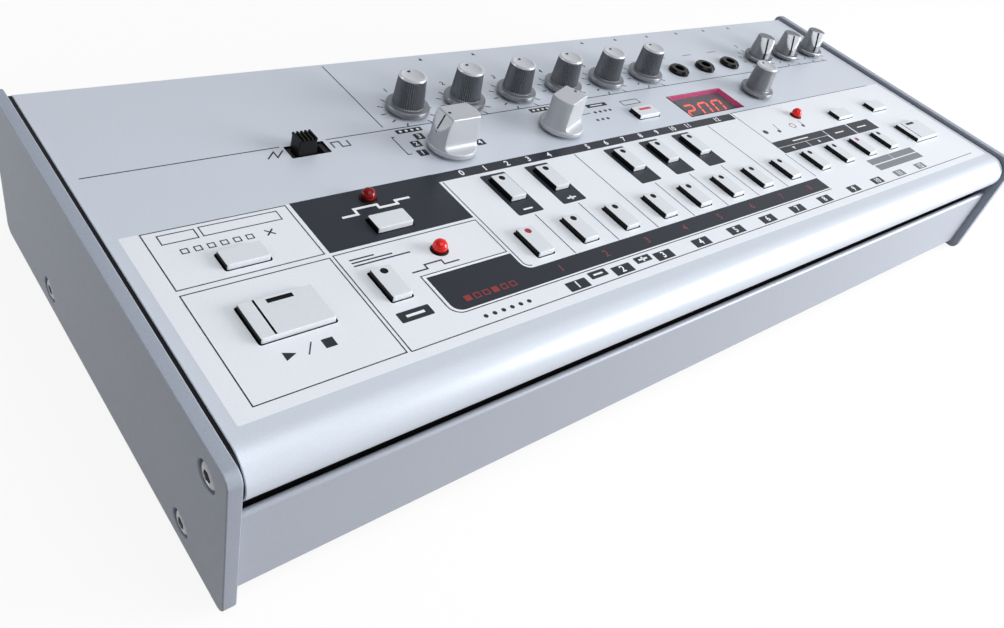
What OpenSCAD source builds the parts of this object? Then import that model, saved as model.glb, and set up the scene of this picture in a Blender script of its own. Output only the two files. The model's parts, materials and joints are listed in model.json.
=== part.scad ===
// Bass synthesizer: a thin desktop module that tilts in a metal dock.
// Millimetres, +X right, +Y to the back, +Z up, origin on the table under the middle of the dock.
// The module frame has its origin on the tilt pivot, with its Y and Z along and square to the panel.
// Places on the panel are measured from its left end (u) and from the front of its nose (v).

/* [Module] */
// Width of the module
module_w = 300; // [296:1:320]
// Depth of the module, from the front of its nose to its rear edge
module_d = 117; // [115:0.5:130]
// Thickness of the module, from its bottom to the panel's surface
module_h = 30; // [29.5:0.5:36]
// Thickness of the top panel's sheet
panel_t = 1.2; // [0.8:0.1:1.6]
// Outer radius of the panel's rolled front edge, about the tilt pivot
nose_r = 6.1; // [5.9:0.1:7.4]
// How far below the pivot the rolled front edge ends
nose_drop = 4.6; // [3:0.1:4.8]
// Slope of the panel in the dock, in degrees
panel_slope = 0.85; // [0:0.05:4]
// Wall of the plastic bottom case
case_wall = 2; // [1.5:0.1:2.5]
// How far the case's sides lie inside the panel's ends
case_inset = 1; // [0.9:0.05:1.5]

/* [Dock] */
// Thickness of the side plates
plate_t = 2.8; // [2.6:0.1:4]
// Gap between the module's ends and the side plates
side_gap = 1.2; // [0.9:0.05:2]
// How far the side plates stand above the panel
plate_top_over = 1.2; // [0:0.1:3]
// How far the side plates stand in front of the nose
plate_front_over = 1.5; // [0.5:0.1:4]
// How far the side plates' tops reach behind the module
plate_back_over = 2.4; // [0.5:0.1:6]
// How much further back the side plates reach at the bottom
plate_back_rake = 4; // [0:0.5:8]
// Corner radius of the side plates
plate_corner_r = 2.5; // [0.5:0.1:4]
// Height of the side plates' bottom edges above the table
plate_lift = 0.8; // [0.3:0.1:2]
// Thickness of the front panel's sheet
front_t = 1.5; // [1:0.1:2]
// How far the front panel lies behind the nose's front
front_setback = 1.3; // [0.8:0.1:2]
// Radius of the rolled bead along the front panel's top
bead_r = 0.9; // [0.8:0.1:1.4]
// Gap between the nose and the bead
bead_gap = 2.8; // [1:0.1:3.2]
// Height of the front panel's bottom edge above the table
front_lift = 3.4; // [2.8:0.1:5]
// Thickness of the base tray's sheet
tray_t = 1.2; // [0.8:0.1:2]
// Thickness of the tray's side flanges
tray_side_t = 0.9; // [0.6:0.05:1]
// How far the tray ends in front of the side plates' back corners
tray_inset = 8; // [5:0.5:20]
// Height of the tray's upturned flanges above the table
tray_flange_h = 12; // [11:0.5:14]
// Clear height between the tray's floor and the cradle, at the pivot
tray_clear = 5.9; // [3.5:0.1:8]
// Sheet of the cradle that carries the module
cradle_t = 1; // [0.8:0.1:1.5]
// Depth of the cradle's floor
cradle_d = 96; // [70:1:100]
// Radius of the rubber feet
foot_r = 6; // [4:0.5:9]
// Thickness of the rubber feet
foot_h = 2.8; // [2:0.1:4]
// Distance of the feet from the dock's middle, sideways
foot_x = 130; // [100:1:140]
// Distance of the feet from the dock's middle, front to back
foot_y = 44; // [30:1:48]

/* [Screws] */
// Radius of the button heads
head_r = 3; // [2.6:0.1:3.2]
// Height of the button heads
head_h = 1.7; // [1.2:0.1:1.8]
// Radius of the pivot screws' smooth shanks
pivot_r = 2; // [1.5:0.1:2.4]
// Radius of the tray screws' and case screws' shanks
screw_r = 1.5; // [1:0.1:1.6]
// Width across flats of the hexagon sockets
socket_w = 2.5; // [2:0.1:3]
// Height of the tray screws above the table
tray_screw_z = 6.9; // [6.5:0.1:7.2]
// Place of the front tray screws behind the pivot
tray_screw_front = 11.5; // [8:0.5:20]
// Place of the rear tray screws behind the pivot
tray_screw_back = 84.7; // [60:0.5:95]

/* [Buttons] */
// Width of a key
key_w = 5; // [4.6:0.1:6]
// Depth of a key
key_d = 9.5; // [8:0.1:11]
// Height of a key above the panel
key_h = 1.35; // [1.2:0.05:3]
// Width of a mode button
mode_w = 9.4; // [8:0.1:11]
// Depth of a mode button
mode_d = 5.1; // [4.8:0.1:6]
// Width of the two large buttons
large_w = 15.6; // [12:0.1:16.5]
// Depth of the two large buttons
large_d = 10.4; // [8:0.1:11.5]
// Height of mode and large buttons above the panel
large_h = 1.3; // [1.2:0.05:3]
// Bevel round the top of a button
cap_bevel = 0.2; // [0.15:0.05:0.5]
// Gap round a button in the panel
cap_gap = 0.35; // [0.3:0.05:0.5]
// How far a button travels
travel = 0.6; // [0.3:0.05:0.8]
// Distance between neighbouring keys
key_pitch = 15; // [13:0.1:15.2]
// Place of the first white key from the panel's left end
key_u = 85; // [84:0.5:88]
// Distance of the first step button from the last white key
step_gap = 17.4; // [16:0.1:19]
// Place of the white keys' row from the nose
white_v = 29.9; // [28:0.1:31]
// Distance of the black keys' row behind the white keys' row
black_row_gap = 20.3; // [18:0.1:22]
// Distance of the mode buttons' row behind the white keys' row
mode_row_gap = 18.4; // [17:0.1:20]
// Place of the run button from the panel's left end
run_u = 21.9; // [20:0.1:24]
// Distance of the write button from the last step button
write_gap = 24.6; // [22:0.1:28]
// Distance of the function key from the run button
function_gap = 23.2; // [20:0.1:26]
// Distance of the pitch mode button from the function key, sideways
pitch_gap = 11.3; // [9:0.1:14]
// Distance of the time mode button from the value encoder, sideways
time_gap = 26.1; // [23:0.1:30]
// Distance of the back button from the time mode button
back_gap = 25; // [21:0.1:29]
// Distance of the tempo button from the mode selector
tempo_gap = 36.7; // [33:0.1:41]

/* [Knobs] */
// Radius of a knob's flange
flange_r = 6; // [5:0.1:6.4]
// Height of a knob above the panel
knob_h = 11; // [8:0.1:14]
// Radius of a knob's body at its foot
knob_foot_r = 4.4; // [4.2:0.1:5]
// Radius of a knob's body at its top
knob_top_r = 3.75; // [3:0.05:4.1]
// Radius of a selector's skirt
selector_r = 6.6; // [5.5:0.1:7]
// Height of a selector above the panel
selector_h = 11.4; // [9:0.1:14]
// Width of a selector's bar
selector_bar = 7; // [5:0.1:8]
// Radius of a pointer knob's flange
pointer_r = 5.5; // [5:0.1:6]
// Height of a pointer knob above the panel
pointer_h = 9.8; // [8:0.1:12]
// Radius of a pointer knob's body at its foot
pointer_foot_r = 4.2; // [3.9:0.1:4.6]
// Radius of a pointer knob's body at its top
pointer_top_r = 3.4; // [3:0.1:3.8]
// Gap between the knobs and the panel
knob_lift = 1.1; // [0.6:0.1:1.4]
// Thickness of a knob's flange
flange_t = 1.4; // [1:0.1:1.8]
// Radius of the knobs' spindles
spindle_r = 3; // [2:0.1:3.2]
// Running clearance of shafts, pins and slides
run_gap = 0.05; // [0.02:0.01:0.1]
// Distance of the top row of knobs behind the selectors' row
top_row_gap = 19.5; // [18:0.1:21]
// Distance of the panel's rear edge behind the top row of knobs
rear_margin = 27.5; // [25:0.1:30]
// Distance of the panel's right end from the last effect knob
end_margin = 15.4; // [14:0.1:18]
// Place of the first tone knob from the panel's left end
tone_u = 87.2; // [84:0.1:90]
// Distance between the tone knobs
tone_pitch = 19.25; // [17:0.05:19.6]
// Distance of the first effect knob from the last mini jack
effect_gap = 17.8; // [16:0.1:19.6]
// Distance between the effect knobs
effect_pitch = 17.7; // [16:0.05:18.6]
// Distance of the selectors' row behind the black keys' row
mid_row_gap = 19.8; // [18:0.1:22]
// Place of the track selector from the panel's left end
track_u = 88.4; // [85:0.1:91]
// Distance of the mode selector from the track selector
selector_gap = 39.2; // [34:0.1:44]
// Distance of the value encoder from the middle of the display window
value_gap = 28.4; // [25:0.1:31]

/* [Sockets and lights] */
// Bore radius of the mini jacks
jack_bore_r = 1.8; // [1.6:0.05:2]
// Radius of the mini jacks' bushes
bush_r = 3; // [2.6:0.1:3.2]
// Radius of the mini jacks' round nuts
nut_r = 3.8; // [3.6:0.1:4.8]
// Distance of the first mini jack from the last tone knob
jack_gap = 18.45; // [16.5:0.05:20.5]
// Distance between the mini jacks
jack_pitch = 14.75; // [13:0.05:15]
// Bore radius of the round rear sockets
din_bore_r = 6.75; // [6:0.05:7]
// Radius of a light
led_r = 1.7; // [1.2:0.1:1.9]
// Height of a light above the panel
led_h = 2.9; // [2.2:0.1:4]
// Width of the display window
display_w = 28.8; // [27:0.1:30]
// Depth of the display window
display_d = 12.8; // [12:0.1:13.6]
// Distance of the display window's middle from the tempo button
display_gap = 31.2; // [28:0.1:34]
// Place of the wave slider's slot from the panel's left end
slot_u = 52.7; // [50:0.1:55]
// Distance of the wave slider's slot behind the selectors' row
slot_row_gap = 9.8; // [8:0.1:12]
// Width of the wave slider's slot
slot_w = 10.4; // [9.6:0.1:12]
// Depth of the wave slider's slot
slot_d = 5; // [4.8:0.1:6]
// How far the wave slider moves
slot_travel = 2.3; // [2:0.1:4]
// Width of the wave slider's tongue
tongue_w = 4.8; // [3:0.1:5]
// Depth of the wave slider's tongue
tongue_d = 3.2; // [2:0.1:3.6]
// Width of the wave slider's cap at its foot
lever_w = 5; // [4.9:0.1:5.6]
// Depth of the wave slider's cap at its foot
lever_d = 4.2; // [3.7:0.1:4.4]
// Height of the wave slider's cap above the panel
lever_h = 4.4; // [2:0.1:5]

/* [Inside] */
// Space between the panel and the circuit board
board_gap = 9.2; // [8.8:0.1:10]
// Thickness of the circuit board
board_t = 1.6; // [1:0.1:2]
// Diameter of a battery
battery_dia = 14.2; // [10:0.1:14.3]
// Length of a battery
battery_len = 50.5; // [44:0.1:51]
// Radius of the loudspeaker
speaker_r = 14; // [10:0.5:16]
// Height of the loudspeaker
speaker_h = 6; // [4:0.5:9]

/* [Hidden] */
$fn = 48;
EPS = 0.02;
// Small gaps between pieces that only lie near each other
FIT = 0.1;
CLEAR = 0.3;
BIG = 400;

// Heights in the module frame, above the tilt pivot
top_z = nose_r;
under_z = top_z - panel_t;
bottom_z = top_z - module_h;
floor_z = bottom_z + case_wall;
board_z = under_z - board_gap;
board_under_z = board_z - board_t;
rear_y = module_d - nose_r;
rear_in_y = rear_y - case_wall;

// Places of the dock about the pivot
tray_z = foot_h + tray_t;
cradle_z = bottom_z - cradle_t;
pivot_z = tray_z + tray_clear - cradle_z * cos(panel_slope);
plate_in_x = module_w / 2 + side_gap;
plate_out_x = plate_in_x + plate_t;
face_y = front_setback - nose_r;
bead_y = face_y + bead_r;
bead_z = -sqrt(pow(nose_r + bead_gap + bead_r, 2) - bead_y * bead_y);
// Hook of the tray behind the front panel, and the case's front behind both
hook_y = face_y + front_t;
hook_in_y = hook_y + tray_t;
case_front_y = max(bead_y + bead_r, hook_in_y) + 0.8;
case_x = module_w / 2 - case_inset;
ear_in_x = case_x + EPS;
ear_out_x = plate_in_x - tray_side_t - 1.2 * CLEAR;

// A point of the module frame seen in the dock's frame, and the middle of the dock
function dock_y(y, z) = y * cos(panel_slope) - z * sin(panel_slope);
function dock_z(y, z) = pivot_z + y * sin(panel_slope) + z * cos(panel_slope);
function dock_point(y, z) = [pivot_y + dock_y(y, z), dock_z(y, z)];
plate_top_z = top_z + plate_top_over;
plate_front_y = -nose_r - plate_front_over;
plate_back_y = rear_y + plate_back_over;
// Height below the pivot at which a line square to the panel meets a level z
function down_to(y, z) = (z - pivot_z - y * sin(panel_slope)) / cos(panel_slope);
plate_foot_front = [plate_front_y, down_to(plate_front_y, plate_lift)];
plate_foot_back_y = plate_back_y + plate_back_rake;
plate_foot_back = [plate_foot_back_y, down_to(plate_foot_back_y, plate_lift)];
// Corners of a side plate, the outward normal of the edge after each, and the centres of their arcs
plate_corners = [[plate_front_y, plate_top_z], plate_foot_front, plate_foot_back,
    [plate_back_y, plate_top_z]];
plate_normals = [for (i = [0:3]) let (d = plate_corners[(i + 1) % 4] - plate_corners[i])
    [d[1], -d[0]] / norm(d)];
plate_centres = [for (i = [0:3]) let (a = plate_normals[(i + 3) % 4], b = plate_normals[i])
    plate_corners[i] - plate_corner_r * (a + b) / (1 + a * b)];
front_y = min([for (c = plate_centres) dock_y(c[0], c[1])]) - plate_corner_r;
back_y = max([for (c = plate_centres) dock_y(c[0], c[1])]) + plate_corner_r;
pivot_y = -(front_y + back_y) / 2;
tray_back_y = pivot_y + back_y - tray_inset;

// Rows of the controls from the nose, and their columns from the panel's left end
black_v = white_v + black_row_gap;
mode_v = white_v + mode_row_gap;
mid_v = black_v + mid_row_gap;
slot_v = mid_v + slot_row_gap;
row_v = mid_v + top_row_gap;
function_u = run_u + function_gap;
pitch_u = function_u + pitch_gap;
step_u = key_u + 7 * key_pitch + step_gap;
write_u = step_u + 3 * key_pitch + write_gap;
mode_u = track_u + selector_gap;
tempo_u = mode_u + tempo_gap;
display_u = tempo_u + display_gap;
value_u = display_u + value_gap;
time_u = value_u + time_gap;
back_u = time_u + back_gap;
jack_u = tone_u + 5 * tone_pitch + jack_gap;
effect_u = jack_u + 2 * jack_pitch + effect_gap;

// The rows and columns spread over the module's own depth and width
rule_w = effect_u + 2 * effect_pitch + end_margin;
rule_d = row_v + rear_margin;
function at_u(u) = u * module_w / rule_w;
function at_v(v) = v * module_d / rule_d;

// Buttons: name, place, size, height above the panel
function mode_button(name, u, v) = [name, at_u(u), at_v(v), mode_w, mode_d, large_h];
function large_button(name, u) = [name, at_u(u), at_v(white_v), large_w, large_d, large_h];
function key(name, u, v) = [name, at_u(u), at_v(v), key_w, key_d, key_h];
black_steps = [0.5, 1.5, 3.5, 4.5, 5.5];
BUTTONS = concat(
    [mode_button("pattern_clear_button", run_u, mode_v),
     large_button("run_stop_button", run_u),
     mode_button("pitch_mode_button", pitch_u, mode_v),
     key("function_button", function_u, white_v),
     mode_button("time_mode_button", time_u, mode_v),
     mode_button("back_button", back_u, mode_v),
     large_button("write_button", write_u),
     mode_button("tempo_button", tempo_u, mid_v)],
    [for (i = [0:7]) key(str("white_key_", i + 1), key_u + i * key_pitch, white_v)],
    [for (i = [0:4]) key(str("black_key_", i + 1), key_u + black_steps[i] * key_pitch, black_v)],
    [for (i = [0:3]) key(str("step_button_", i + 1), step_u + i * key_pitch, white_v)]);

// Round knobs on the panel: name, place and the angle that they point to at rest
function knob(name, u, v, angle) = [name, at_u(u), at_v(v), angle];
TONE_KNOBS = [for (i = [0:5]) knob(str("tone_knob_", i + 1), tone_u + i * tone_pitch, row_v, 90)];
EFFECT_KNOBS = [for (i = [0:2]) knob(str("effect_knob_", i + 1), effect_u + i * effect_pitch, row_v, 240)];
SELECTORS = [knob("track_selector", track_u, mid_v, 180), knob("mode_selector", mode_u, mid_v, 22)];
ENCODERS = [knob("value_encoder", value_u, mid_v, 90)];
TURNED = concat(TONE_KNOBS, EFFECT_KNOBS, SELECTORS, ENCODERS);

// Lights, mini jacks, display window and wave slider on the panel
LEDS = [[at_u(pitch_u) - 0.1, at_v(mode_v) + 9.5], [at_u(pitch_u) + 5.2, at_v(white_v) + 6],
    [at_u(value_u) + 3.6, at_v(mode_v) + 5]];
JACKS = [for (i = [0:2]) [at_u(jack_u + i * jack_pitch), at_v(row_v)]];
display_at = [at_u(display_u), at_v(mid_v)];
slot_at = [at_u(slot_u), at_v(slot_v)];

// Rear row, from the panel's left end, at one height
rear_z = (board_under_z + floor_z) / 2;
DIN_U = [for (u = [108, 128]) at_u(u)];
REAR_JACK_U = [for (u = [174.5, 191.3, 208]) at_u(u)];
volume_u = at_u(225);
usb_u = at_u(241);
power_u = at_u(257);
din_body = [17, 14];
din_wall = 0.9;
din_depth = 8;
volume_r = 5;
volume_len = 5.5;
volume_spindle_r = 2;
power_travel = 3;
power_tab = [3, 2.2, 3];
usb_size = [8, 3];

// Screw posts inside the case, from the panel's left end and the nose
post_side_in = 14;
post_front_in = 18;
post_rear_in = 13;
POSTS = [for (u = [post_side_in, module_w / 2, module_w - post_side_in])
    for (v = [post_front_in, module_d - post_rear_in]) [u, v]];
post_r = 4;
standoff_r = 3;
well_r = 3.2;
well_top_z = floor_z + 4;
cradle_screw_side_in = 26;
cradle_screw_front_y = 20;
cradle_screw_rear_in = 12;
CRADLE_SCREWS = [for (side = [-1, 1]) for (y = [cradle_screw_front_y, cradle_d - cradle_screw_rear_in])
    [side * (module_w / 2 - cradle_screw_side_in), y]];

// Battery box, loudspeaker and board
battery_gap = [1.2, 1];
battery_margin = [1.9, 1.8];
battery_box = [2 * battery_len + battery_gap[0] + 2 * battery_margin[0],
    2 * battery_dia + battery_gap[1] + 2 * battery_margin[1]];
battery_v = 55;
speaker_u = 245;
speaker_v = 52;
battery_at = [module_w / 2, at_v(battery_v)];
speaker_at = [at_u(speaker_u), at_v(speaker_v)];
board_side_gap = 8;
board_x = module_w / 2 - board_side_gap;
board_front_y = 6;
board_back_y = rear_in_y - 1;

// How far the display window reaches below the panel's sheet
window_sink = 0.4;

// Switches under the buttons
switch_w = 6;
switch_h = board_gap - 5.7;
pin_r = 1.5;
stem_r = 2.6;
cap_flange = 0.7;
cap_flange_t = 1;
cap_root_z = under_z - CLEAR - cap_flange_t;
bore_top_z = cap_root_z - 0.4;
pin_top_z = bore_top_z - travel - CLEAR;
stem_foot_z = board_z + switch_h + travel + CLEAR;

// Turned parts under the knobs
pot_w = 11.5;
pot_h = board_gap - 2.6;
pot_bush_r = 4.2;
pot_bush_top = under_z - CLEAR;
pot_bore_foot = board_z + 2;
spindle_foot = pot_bore_foot + CLEAR;

// Frames

module in_module() {
    translate([0, pivot_y, pivot_z]) rotate([panel_slope, 0, 0]) children();
}

// Origin on the panel's place (u, v), at the pivot's height
module at_panel(u, v) {
    in_module() translate([u - module_w / 2, v - nose_r, 0]) children();
}

// A flat outline in the module's Y and Z, drawn out along X
module along_x(x0, x1) {
    translate([x0, 0, 0]) rotate([90, 0, 90]) linear_extrude(height = x1 - x0) children();
}

// Shared shapes

module block(low, high) {
    translate(low) cube(high - low);
}

module tube_z(r, z0, z1) {
    translate([0, 0, z0]) cylinder(r = r, h = z1 - z0);
}

module rod_x(r, x0, x1) {
    translate([x0, 0, 0]) rotate([0, 90, 0]) cylinder(r = r, h = x1 - x0);
}

module rod_y(r, y0, y1) {
    translate([0, y0, 0]) rotate([-90, 0, 0]) cylinder(r = r, h = y1 - y0);
}

// Outline of a block with its two top edges bevelled
module bevel_outline(w, z0, z1, c) {
    polygon([[-w / 2, z0], [w / 2, z0], [w / 2, z1 - c], [w / 2 - c, z1], [c - w / 2, z1],
             [-w / 2, z1 - c]]);
}

module bevelled_block(w, d, z0, z1, c) {
    intersection() {
        rotate([90, 0, 0]) linear_extrude(height = d, center = true) bevel_outline(w, z0, z1, c);
        rotate([90, 0, 90]) linear_extrude(height = w, center = true) bevel_outline(d, z0, z1, c);
    }
}

// Button head screw that points along +X, with its head's outside at x = 0
module button_screw(shank_r, shank_end) {
    difference() {
        union() {
            rotate([0, 90, 0]) rotate_extrude()
                polygon([[0, 0], [head_r - 0.7, 0], [head_r, 0.8], [head_r, head_h], [0, head_h]]);
            rod_x(shank_r, 0.5, shank_end);
        }
        rod_hex(socket_w / sqrt(3), -1, 1.1);
    }
}

module rod_hex(r, x0, x1) {
    translate([x0, 0, 0]) rotate([0, 90, 0]) cylinder(r = r, h = x1 - x0, $fn = 6);
}

// Dock

// Outline of a side plate about the pivot, with each corner rounded by an arc
module plate_outline() {
    steps = 8;
    polygon([for (i = [0:3]) for (k = [0:steps])
        let (n = plate_normals[(i + 3) % 4] * (steps - k) + plate_normals[i] * k)
            plate_centres[i] + plate_corner_r * n / norm(n)]);
}

module side_plate() {
    head_floor = plate_out_x - head_h - FIT;
    difference() {
        in_module() along_x(plate_in_x, plate_out_x) plate_outline();
        in_module() {
            rod_x(pivot_r + run_gap, plate_in_x - 1, plate_out_x + 1);
            rod_x(head_r + 2 * FIT, head_floor, plate_out_x + 1);
        }
        for (y = [tray_screw_front, tray_screw_back]) {
            translate([0, pivot_y + y, tray_screw_z]) {
                rod_x(screw_r + run_gap, plate_in_x - 1, plate_out_x + 1);
                rod_x(head_r + 2 * FIT, head_floor, plate_out_x + 1);
            }
        }
    }
}

module right_side_plate() {
    color([0.72, 0.73, 0.75]) side_plate();
}

module left_side_plate() {
    color([0.72, 0.73, 0.75]) mirror([1, 0, 0]) side_plate();
}

module front_panel() {
    foot = down_to(face_y, front_lift);
    color([0.74, 0.75, 0.77]) in_module() along_x(-plate_in_x, plate_in_x) {
        translate([face_y, foot]) square([front_t, bead_z - foot]);
        translate([bead_y, bead_z]) circle(r = bead_r);
    }
}

// Folded sheet: a floor, a hook behind the front panel, a low back flange and two side flanges
module base_tray() {
    hook_top = down_to(hook_y, tray_flange_h);
    back_in_y = tray_back_y - tray_t;
    back_flange_z = tray_flange_h - 3;
    side_front_y = pivot_y + 6;
    color([0.3, 0.31, 0.33]) difference() {
        union() {
            along_x(-plate_in_x, plate_in_x) polygon([
                dock_point(hook_y, down_to(hook_y, foot_h)), [tray_back_y, foot_h],
                [tray_back_y, back_flange_z], [back_in_y, back_flange_z], [back_in_y, tray_z],
                dock_point(hook_in_y, down_to(hook_in_y, tray_z)), dock_point(hook_in_y, hook_top),
                dock_point(hook_y, hook_top)]);
            for (x = [-plate_in_x, plate_in_x - tray_side_t])
                block([x, side_front_y, foot_h], [x + tray_side_t, tray_back_y, tray_flange_h]);
        }
        for (y = [tray_screw_front, tray_screw_back]) {
            translate([0, pivot_y + y, tray_screw_z]) rod_x(screw_r + run_gap, -BIG, BIG);
        }
    }
}

module side_screws() {
    color([0.45, 0.46, 0.48]) for (side = [0, 1]) mirror([side, 0, 0]) {
        in_module() translate([plate_out_x - FIT, 0, 0]) mirror([1, 0, 0])
            button_screw(pivot_r, plate_out_x - FIT - ear_in_x + case_wall + 2);
        for (y = [tray_screw_front, tray_screw_back]) {
            translate([plate_out_x - FIT, pivot_y + y, tray_screw_z]) mirror([1, 0, 0])
                button_screw(screw_r, plate_t + tray_side_t);
        }
    }
}

module rubber_feet() {
    edge = 0.5;
    color([0.08, 0.08, 0.08]) for (x = [-foot_x, 0, foot_x]) for (y = [-foot_y, foot_y])
        translate([x, y, 0]) rotate_extrude()
            polygon([[0, 0], [foot_r - edge, 0], [foot_r, edge], [foot_r, foot_h], [0, foot_h]]);
}

// Module

// Carries the module on the two pivot screws
module cradle() {
    boss_r = pivot_r + 1.6;
    ear_r = nose_r - panel_t - 0.6;
    ear_back_y = 16;
    color([0.25, 0.26, 0.28]) in_module() difference() {
        union() {
            block([-ear_out_x, case_front_y, cradle_z], [ear_out_x, cradle_d, bottom_z]);
            for (side = [0, 1]) mirror([side, 0, 0]) {
                along_x(ear_in_x, ear_out_x) {
                    circle(r = ear_r);
                    polygon([[case_front_y, 0], [case_front_y, cradle_z], [ear_back_y, cradle_z],
                             [ear_r, 0]]);
                }
                rod_x(boss_r, ear_in_x - case_wall - 3, plate_in_x - CLEAR);
            }
        }
        rod_x(pivot_r + run_gap, -BIG, BIG);
        for (p = CRADLE_SCREWS) translate([p[0], p[1], 0]) tube_z(screw_r + FIT, cradle_z - 1, bottom_z + 1);
    }
}

// Side outline of the case, inside the panel
module case_outline(inset) {
    inner_r = nose_r - panel_t - FIT;
    circle(r = inner_r - inset);
    translate([case_front_y + inset, bottom_z + inset])
        square([rear_y - case_front_y - 2 * inset, under_z - FIT - bottom_z - inset + (inset > 0 ? BIG : 0)]);
}

module bottom_case() {
    boss_room_r = pivot_r + 1.6 + CLEAR;
    color([0.07, 0.07, 0.08]) in_module() difference() {
        union() {
            difference() {
                along_x(-case_x, case_x) case_outline(0);
                along_x(case_wall - case_x, case_x - case_wall) case_outline(case_wall);
            }
            for (p = POSTS) translate([p[0] - module_w / 2, p[1] - nose_r, 0])
                tube_z(post_r, bottom_z + 1, board_under_z);
            for (p = CRADLE_SCREWS) translate([p[0], p[1], 0]) tube_z(post_r, bottom_z + 1, floor_z + 6);
        }
        rod_x(boss_room_r, case_x - case_wall - 4, BIG);
        rod_x(boss_room_r, -BIG, case_wall + 4 - case_x);
        for (p = POSTS) translate([p[0] - module_w / 2, p[1] - nose_r, 0]) {
            tube_z(screw_r + FIT, bottom_z - 1, board_z);
            tube_z(well_r, bottom_z - 1, well_top_z);
        }
        for (p = CRADLE_SCREWS) translate([p[0], p[1], 0])
            tube_z(screw_r + run_gap, bottom_z - 1, floor_z + 5);
        translate([0, battery_at[1] - nose_r, 0])
            block([-battery_box[0] / 2, -battery_box[1] / 2, bottom_z - 1],
                  [battery_box[0] / 2, battery_box[1] / 2, floor_z + 1]);
        speaker_holes();
        rear_cuts();
    }
}

// Ring of small holes under the loudspeaker
module speaker_holes() {
    hole_r = 1;
    translate([speaker_at[0] - module_w / 2, speaker_at[1] - nose_r, 0])
        for (ring = [0, 1, 2]) for (i = [0:max(0, 6 * ring - 1)])
            rotate(i * 60 / max(ring, 1)) translate([ring * speaker_r / 3.2, 0, 0])
                tube_z(hole_r, bottom_z - 1, floor_z + 1);
}

module at_rear(u) {
    translate([u - module_w / 2, 0, rear_z]) children();
}

// Openings in the rear wall
module rear_cuts() {
    y0 = rear_in_y - 1;
    y1 = rear_y + 1;
    for (u = DIN_U) at_rear(u) rod_y(din_bore_r + din_wall + FIT, y0, y1);
    for (u = REAR_JACK_U) at_rear(u) rod_y(bush_r + FIT, y0, y1);
    at_rear(volume_u) rod_y(bush_r + FIT, y0, y1);
    at_rear(usb_u) block([-usb_size[0] / 2 - 1 - FIT, y0, -usb_size[1] / 2 - 1 - FIT],
                         [usb_size[0] / 2 + 1 + FIT, y1, usb_size[1] / 2 + 1 + FIT]);
    at_rear(power_u) block([-power_tab[0] / 2 - CLEAR, y0, -power_tab[2] / 2 - CLEAR],
                           [power_tab[0] / 2 + power_travel + CLEAR, y1, power_tab[2] / 2 + CLEAR]);
}

// Sheet with a rolled front edge, cut for the controls, with screw posts underneath
module top_panel() {
    color([0.78, 0.8, 0.83]) in_module() difference() {
        union() {
            along_x(-module_w / 2, module_w / 2) difference() {
                union() {
                    circle(r = nose_r);
                    translate([0, -nose_r]) square([rear_y, 2 * nose_r]);
                }
                circle(r = nose_r - panel_t);
                translate([0, panel_t - nose_r]) square([rear_y + 1, 2 * (nose_r - panel_t)]);
                translate([-nose_r - 1, -nose_r - 1]) square([BIG, nose_r + 1 - nose_drop]);
            }
            for (p = POSTS) translate([p[0] - module_w / 2, p[1] - nose_r, 0])
                tube_z(standoff_r, board_z, under_z + panel_t / 2);
        }
        for (p = POSTS) translate([p[0] - module_w / 2, p[1] - nose_r, 0])
            tube_z(screw_r + run_gap, board_z - 1, under_z - 1);
        translate([-module_w / 2, -nose_r, 0]) panel_cuts();
    }
}

// Holes of the panel, at their places from its left end and nose
module panel_cuts() {
    z0 = under_z - 1;
    z1 = top_z + 1;
    for (b = BUTTONS) translate([b[1], b[2], 0])
        block([-b[3] / 2 - cap_gap, -b[4] / 2 - cap_gap, z0], [b[3] / 2 + cap_gap, b[4] / 2 + cap_gap, z1]);
    for (k = TURNED) translate([k[1], k[2], 0]) tube_z(spindle_r + 2 * CLEAR, z0, z1);
    for (p = LEDS) translate([p[0], p[1], 0]) tube_z(led_r + 0.5, z0, z1);
    for (p = JACKS) translate([p[0], p[1], 0]) tube_z(bush_r + FIT, z0, z1);
    translate([display_at[0], display_at[1], 0])
        block([-display_w / 2, -display_d / 2, z0], [display_w / 2, display_d / 2, z1]);
    translate([slot_at[0], slot_at[1], 0])
        block([-slot_w / 2, -slot_d / 2, z0], [slot_w / 2, slot_d / 2, z1]);
}

module circuit_board() {
    color([0.1, 0.3, 0.18]) in_module() difference() {
        block([-board_x, board_front_y, board_under_z], [board_x, board_back_y, board_z]);
        for (p = POSTS) translate([p[0] - module_w / 2, p[1] - nose_r, 0])
            tube_z(screw_r + FIT, board_under_z - 1, board_z + 1);
    }
}

module display_window() {
    color([0.35, 0.02, 0.06]) at_panel(display_at[0], display_at[1])
        block([FIT - display_w / 2, FIT - display_d / 2, under_z - window_sink],
              [display_w / 2 - FIT, display_d / 2 - FIT, top_z]);
}

module display_block() {
    color([0.1, 0.1, 0.1]) at_panel(display_at[0], display_at[1])
        block([1 - display_w / 2, 0.6 - display_d / 2, board_z],
              [display_w / 2 - 1, display_d / 2 - 0.6, under_z - window_sink]);
}

module mode_leds() {
    rim_r = led_r + 0.4;
    rim_z = top_z + 0.3;
    dome_z = top_z + led_h - led_r;
    color([0.8, 0.05, 0.05]) for (p = LEDS) at_panel(p[0], p[1]) {
        tube_z(rim_r, board_z, rim_z);
        tube_z(led_r, board_z, dome_z);
        translate([0, 0, dome_z]) sphere(r = led_r);
    }
}

module jack_sockets() {
    color([0.08, 0.08, 0.09]) {
        for (p = JACKS) at_panel(p[0], p[1]) top_jack();
        in_module() {
            for (u = REAR_JACK_U) at_rear(u) rear_jack();
            for (u = DIN_U) at_rear(u) din_socket();
            at_rear(usb_u) usb_socket();
        }
    }
}

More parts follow.
